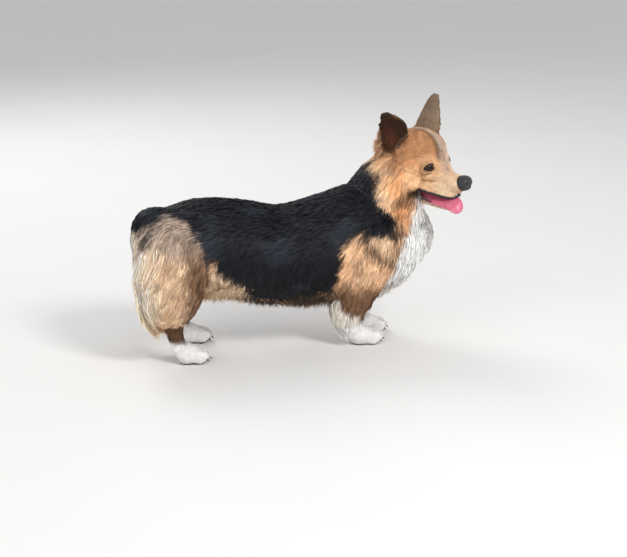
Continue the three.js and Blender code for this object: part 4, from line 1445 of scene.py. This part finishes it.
def build_coat(
    name, mask, count, long_form, slot, seed, sizes, clump=0.55, lock=9.0, turn=0.0, ground=None
):
    """One piece of coat: tufts on the masked skin, drawn together into locks round scattered guides.

    A tuft runs from its root along the lie, laid flat on the skin and strayed by smooth and by fine noise,
    and sags by its looseness. Its tip and its middle are settled at their heights over the skin. clump is how
    far tips are drawn to their guide's, and lock is about the size of a lock. turn moves the map's seam."""
    skin = ground or built["skin"]
    rng = np.random.default_rng(seed)
    corners, share = sample(skin, mask & (skin["coat"][:, 4] > 0.05), count, rng)
    root = mixed(skin["points"], corners, share)
    normal = unit(mixed(skin["normal"], corners, share))
    coat = mixed(skin["coat"], corners, share)
    lie = mixed(skin["lie"], corners, share)
    stray = sizes.unruly * (0.6 + 1.3 * np.clip(coat[:, 3:4], 0, 1))
    lie = lie + 0.24 * stray * np.stack([waves(root, 34, seed + k) for k in range(3)], 1)
    lie = lie + 0.13 * stray * rng.normal(size=(count, 3))
    flat = unit(lie - dot(lie, normal) * normal)
    length = coat[:, 0] * sizes.length * rng.uniform(0.72, 1.12, count)
    width = coat[:, 1] * sizes.width * rng.uniform(0.7, 1.25, count)
    height = coat[:, 2] * rng.uniform(0.35, 1.1, count)
    loose = np.clip(coat[:, 3], 0, 1)
    hang = (loose * length * 0.35)[:, None]
    tip = root + flat * length[:, None] + DOWN * hang
    middle = root + flat * (0.48 * length)[:, None] + DOWN * hang * 0.3
    a, b, c = skin["points"][skin["faces"]].transpose(1, 0, 2)
    face_normal = unit(np.cross(b - a, c - a))
    tip = settle(skin["tree"], a, face_normal, tip, height, loose)
    middle = settle(skin["tree"], a, face_normal, middle, 0.85 * height, 0.5 * loose)
    # Locks: each tuft is drawn to the nearest guide, by a pull that is the guide's own
    guide_count = max(8, int(count * (lock / 26.0) ** -1 / 24))
    guides = rng.choice(count, guide_count, replace=False)
    nearest = KDTree(guide_count)
    for i, p in enumerate(root[guides].tolist()):
        nearest.insert(p, i)
    nearest.balance()
    own = np.fromiter((nearest.find(p)[1] for p in root.tolist()), np.int64, count)
    guide = guides[own]
    pull = np.clip((clump * rng.uniform(0.5, 1.35, guide_count))[own][:, None], 0, 0.92)
    tip = tip + pull * (tip[guide] - tip) * np.clip(length / length[guide], 0, 1)[:, None]
    middle = middle + 0.4 * pull * (middle[guide] - middle)
    tip[:, 2] = np.maximum(tip[:, 2], FLOOR_GAP)
    middle[:, 2] = np.maximum(middle[:, 2], FLOOR_GAP)
    roll = rng.normal(0, 0.3, count)
    sunk = root - normal * ROOT_DEPTH
    points, faces, along, size = blades(sunk, middle, tip, normal, width, roll, long_form)
    # Colour: the skin's, in the lock's and the tuft's own tone, with painted shade making each tuft darker at
    # the root
    colour = mixed(skin["colour"], corners, share)
    spread = 0.07 + 0.11 * smooth_step(length, 6, 28)
    tone = np.exp(spread * rng.normal(size=guide_count)[own] + 0.7 * spread * rng.normal(size=count))
    colour = np.repeat(colour * tone[:, None], size, 0)
    # Painted shade: the root end of each tuft is darker than its tip, most for dark colours
    bright = np.clip(colour.mean(1), 0, 1)
    colour = colour * (0.6 + 0.2 * bright + (0.52 - 0.2 * bright) * along)[:, None]
    item = make_object(name, metres(points), faces, hair_material())
    paint(item, "coat_colour", np.clip(colour, 0, 1))
    add_patches(item, skin, corners, faces, along, size, turn)
    return piece(item, slot)


PATCH = 0.0015


def add_patches(item, skin, corners, faces, along, size, turn):
    """The map OFBake: each tuft is a patch, twice PATCH across, at its root's place on the forms' own unwrap,
    which is a tile for each kind of form with the share round it across and the share along it up."""
    first = corners[:, 0]
    label = skin["label"][first]
    place = skin["place"][first]
    kinds = np.unique(label)
    column = np.searchsorted(kinds, label)
    around = (place[:, 1] + turn) % 1
    low, high = np.zeros(len(kinds)), np.ones(len(kinds))
    for k in range(len(kinds)):
        rows = column == k
        low[k], high[k] = around[rows].min(), around[rows].max() + 1e-6
    across = (around - low[column]) / (high - low)[column]
    centre = np.stack([(column + 0.03 + 0.94 * across) / len(kinds), 0.02 + 0.96 * place[:, 0]], 1)
    centre = np.repeat(centre, size, 0)
    number = np.arange(size)
    sideways = np.where(number == size - 1, 0, np.where(number % 2 == 0, -1, 1))
    patch = centre + PATCH * np.stack([np.tile(sideways, len(corners)), 2 * along - 1], 1)
    layer = item.data.uv_layers.new(name="OFBake", do_init=False)
    layer.data.foreach_set("uv", patch[faces.ravel()].astype(np.float32).ravel())


def is_label(*names):
    """Where the skin belongs to these forms."""
    return on_forms(built["skin"]["label"], *names)


# ---- Operators


class CorgiSizes(bpy.types.PropertyGroup):
    """Sizes and colours that a user may change."""

    voxel: bpy.props.FloatProperty(
        name="Voxel", description="Fineness of the fused skin", default=0.0026, min=0.001, unit="LENGTH"
    )
    length: bpy.props.FloatProperty(
        name="Coat length", description="Multiplies every tuft's length", default=1.0, subtype="FACTOR"
    )
    width: bpy.props.FloatProperty(
        name="Tuft width", description="Multiplies every tuft's width", default=1.0, subtype="FACTOR"
    )
    unruly: bpy.props.FloatProperty(
        name="Unruliness", description="How far tufts stray from the lie", default=1.0, subtype="FACTOR"
    )
    black: bpy.props.FloatVectorProperty(
        name="Black", description="Saddle, rump and nape", default=tuple(srgb(19, 20, 25)), subtype="COLOR"
    )
    dark: bpy.props.FloatVectorProperty(
        name="Dark brown", description="Ear hollows", default=tuple(srgb(68, 46, 32)), subtype="COLOR"
    )
    brown: bpy.props.FloatVectorProperty(
        name="Brown", description="Legs and shaded tan", default=tuple(srgb(142, 102, 70)), subtype="COLOR"
    )
    tan: bpy.props.FloatVectorProperty(
        name="Tan", description="Face and cheeks", default=tuple(srgb(232, 168, 116)), subtype="COLOR"
    )
    pale: bpy.props.FloatVectorProperty(
        name="Pale tan", description="Ruff and trousers", default=tuple(srgb(236, 194, 154)), subtype="COLOR"
    )
    cream: bpy.props.FloatVectorProperty(
        name="Cream", description="Chin, lips and belly", default=tuple(srgb(242, 220, 192)), subtype="COLOR"
    )
    white: bpy.props.FloatVectorProperty(
        name="White", description="Bib and paws", default=tuple(srgb(248, 246, 242)), subtype="COLOR"
    )


def need_skin():
    """Raises an error if the skin isn't there."""
    if "skin" not in built:
        raise RuntimeError("build the skin first")
    return built["skin"]


class CORGI_OT_skin(bpy.types.Operator):
    """Build the one skin of body, head and legs"""

    bl_idname = "corgi.skin"
    bl_label = "Skin"

    def execute(self, context):
        build_skin(context.scene.corgi_sizes)
        return {"FINISHED"}


class CORGI_OT_body_coat(bpy.types.Operator):
    """Grow the long coat of the trunk, neck and tail"""

    bl_idname = "corgi.body_coat"
    bl_label = "Body coat"

    def execute(self, context):
        skin = need_skin()
        sizes = context.scene.corgi_sizes
        x, y, z = skin["points"].T
        up = skin["normal"][:, 2]
        torso = is_label("torso")
        chest = (torso & (x > 196)) | (is_label("neck") & (x > 226) & (z < 246))
        seat = torso & (x < -228)
        middle = torso & ~chest & ~seat
        back = middle & (up > 0.55)
        belly = middle & (up < -0.6)
        rest = middle & ~back & ~belly
        build_coat("coat_back", back, 24000, True, "coat_black", 101, sizes)
        build_coat("coat_flank_right", rest & (y <= 0), 24000, True, "coat_black", 102, sizes)
        build_coat("coat_flank_left", rest & (y > 0), 24000, True, "coat_black", 103, sizes, turn=0.5)
        build_coat("coat_belly", belly, 9000, True, "coat_cream", 104, sizes)
        build_coat("coat_bib", chest, 23000, True, "coat_white", 105, sizes, clump=0.8, lock=15)
        build_coat("coat_rump", seat | is_label("tail"), 11000, True, "coat_black", 106, sizes)
        ruff = is_label("neck") & ~chest
        build_coat("coat_ruff", ruff, 29000, True, "coat_tan", 107, sizes, clump=0.6, lock=11)
        return {"FINISHED"}


class CORGI_OT_leg_coat(bpy.types.Operator):
    """Grow the trousers, the feathers of the arms and the short fur of legs and paws"""

    bl_idname = "corgi.leg_coat"
    bl_label = "Leg coat"

    def execute(self, context):
        skin = need_skin()
        sizes = context.scene.corgi_sizes
        y = skin["points"][:, 1]
        for name, mask, turn, seed in (("right", y <= 0, 0.0, 201), ("left", y > 0, 0.5, 211)):
            thigh, arm = is_label("thigh") & mask, is_label("arm") & mask
            build_coat(f"coat_thigh_{name}", thigh, 20000, True, "coat_tan", seed, sizes, 0.65, 11, turn)
            build_coat(f"coat_arm_{name}", arm, 11000, True, "coat_tan", seed + 1, sizes, 0.55, 9, turn)
            leg, paw = is_label("forearm", "hock") & mask, is_label("paw") & mask
            build_coat(f"fur_leg_{name}", leg, 14000, False, "coat_tan", seed + 2, sizes, 0.45, 6, turn)
            build_coat(f"fur_paw_{name}", paw, 13000, False, "coat_white", seed + 3, sizes, 0.3, 4)
        return {"FINISHED"}


class CORGI_OT_head_coat(bpy.types.Operator):
    """Grow the fur of the face, cheeks and ears"""

    bl_idname = "corgi.head_coat"
    bl_label = "Head coat"

    def execute(self, context):
        need_skin()
        sizes = context.scene.corgi_sizes
        face = is_label("skull", "brow", "lip", "jaw")
        build_coat("fur_face", face, 56000, False, "coat_tan", 301, sizes, 0.35, 4)
        build_coat("coat_cheek", is_label("cheek"), 14000, True, "coat_tan", 302, sizes, 0.55, 7)
        build_coat("fur_ear", is_label("ear", "hollow"), 20000, False, "coat_tan", 303, sizes, 0.35, 5)
        return {"FINISHED"}


class CORGI_OT_eyes(bpy.types.Operator):
    """Build the eyeballs, the lids and the short fur on the lids"""

    bl_idname = "corgi.eyes"
    bl_label = "Eyes"

    def execute(self, context):
        sizes = context.scene.corgi_sizes
        for side, name in SIDES:
            build_eye(side, name)
            lids = build_lids(side, name, sizes)
            everywhere = np.ones(len(lids["points"]), bool)
            build_coat(
                f"fur_lids_{name}", everywhere, 1800, False, "coat_tan", 401, sizes, 0.2, 3, ground=lids
            )
        return {"FINISHED"}


class CORGI_OT_nose(bpy.types.Operator):
    """Build the nose leather"""

    bl_idname = "corgi.nose"
    bl_label = "Nose"

    def execute(self, context):
        build_nose()
        return {"FINISHED"}


class CORGI_OT_mouth(bpy.types.Operator):
    """Build the lips and the tongue"""

    bl_idname = "corgi.mouth"
    bl_label = "Mouth"

    def execute(self, context):
        build_mouth()
        return {"FINISHED"}


class CORGI_OT_claws(bpy.types.Operator):
    """Build the claws of the four paws"""

    bl_idname = "corgi.claws"
    bl_label = "Claws"

    def execute(self, context):
        build_claws()
        return {"FINISHED"}


class CORGI_OT_stage(bpy.types.Operator):
    """Make the floor, the lights and the camera"""

    bl_idname = "corgi.stage"
    bl_label = "Stage"

    def execute(self, context):
        build_stage()
        return {"FINISHED"}


# The lamps' names, places, sizes and powers, and the point that they face.
LAMPS = (
    ("key", (1.0, -2.5, 2.3), 0.9, 64),
    ("fill", (-2.4, -1.8, 1.6), 2.0, 18),
    ("rim", (-0.6, 2.4, 2.2), 1.6, 35),
)
LAMPS_AIM = Vector((0.0, 0.0, 0.2))
# The camera as solved from where the paws stand: its place, its way, and its focal length in pixels of a
# picture PHOTO_WIDTH across.
CAMERA_AT = (-0.7961, -2.7059, 0.8516)
CAMERA_LOOK = Vector((0.28514, 0.92518, -0.25047))
PHOTO_WIDTH = 627
PHOTO_FOCAL = 1595
SENSOR = 36


def build_stage():
    """A pale floor, three soft lights, an even sky, and the camera at the photograph's place."""
    # The floor is a square of cells, side by side along x and y
    cells, half = 40, 40.0
    count = cells + 1
    x, y = np.meshgrid(*[np.linspace(-half, half, count)] * 2, indexing="ij")
    points = np.stack([x.ravel(), y.ravel(), np.zeros(x.size)], 1)
    i, j = np.meshgrid(np.arange(cells), np.arange(cells), indexing="ij")
    a = (i * count + j).ravel()
    b, c, d = a + count, a + count + 1, a + 1
    faces = np.concatenate([np.stack([a, b, c], 1), np.stack([a, c, d], 1)])
    material, tree, shader = nodes_of("floor", srgb(226, 224, 220), 0.9, 0.2)
    mottled(tree, shader, 3, srgb(224, 222, 218), srgb(229, 227, 223))
    make_object("floor", points, faces, material, smooth=False)
    for name, place, size, power in LAMPS:
        light = bpy.data.lights.new(name, "AREA")
        light.size = size
        light.energy = power
        lamp = bpy.data.objects.new(name, light)
        lamp.location = place
        lamp.rotation_euler = (LAMPS_AIM - Vector(place)).to_track_quat("-Z", "Y").to_euler()
        bpy.context.scene.collection.objects.link(lamp)
    world = bpy.data.worlds.new("sky")
    world.use_nodes = True
    background = world.node_tree.nodes["Background"]
    background.inputs["Color"].default_value = (0.93, 0.95, 1.0, 1)
    background.inputs["Strength"].default_value = 0.68
    bpy.context.scene.world = world
    bpy.context.scene.view_settings.view_transform = "Standard"
    camera = bpy.data.cameras.new("camera")
    camera.sensor_width = SENSOR
    camera.lens = SENSOR * PHOTO_FOCAL / PHOTO_WIDTH
    holder = bpy.data.objects.new("camera", camera)
    holder.location = CAMERA_AT
    holder.rotation_euler = CAMERA_LOOK.to_track_quat("-Z", "Y").to_euler()
    bpy.context.scene.collection.objects.link(holder)
    bpy.context.scene.camera = holder


class CORGI_PT_panel(bpy.types.Panel):
    """Lists the pieces in the order they are built"""

    bl_label = "Corgi"
    bl_idname = "CORGI_PT_panel"
    bl_space_type = "VIEW_3D"
    bl_region_type = "UI"
    bl_category = "Corgi"

    def draw(self, context):
        for name in context.scene.corgi_sizes.__annotations__:
            self.layout.prop(context.scene.corgi_sizes, name)
        for operator in OPERATORS:
            self.layout.operator(operator.bl_idname)


OPERATORS = [
    CORGI_OT_skin,
    CORGI_OT_eyes,
    CORGI_OT_nose,
    CORGI_OT_mouth,
    CORGI_OT_claws,
    CORGI_OT_body_coat,
    CORGI_OT_leg_coat,
    CORGI_OT_head_coat,
    CORGI_OT_stage,
]


def register():
    """Adds the classes and the scene's settings."""
    for item in [CorgiSizes, *OPERATORS, CORGI_PT_panel]:
        bpy.utils.register_class(item)
    bpy.types.Scene.corgi_sizes = bpy.props.PointerProperty(type=CorgiSizes)


def unregister():
    """Takes them away again."""
    del bpy.types.Scene.corgi_sizes
    for item in reversed([CorgiSizes, *OPERATORS, CORGI_PT_panel]):
        bpy.utils.unregister_class(item)


def main():
    """Builds every piece in order."""
    register()
    for operator in OPERATORS:
        group, name = operator.bl_idname.split(".")
        getattr(getattr(bpy.ops, group), name)()


if __name__ == "__main__":
    main()
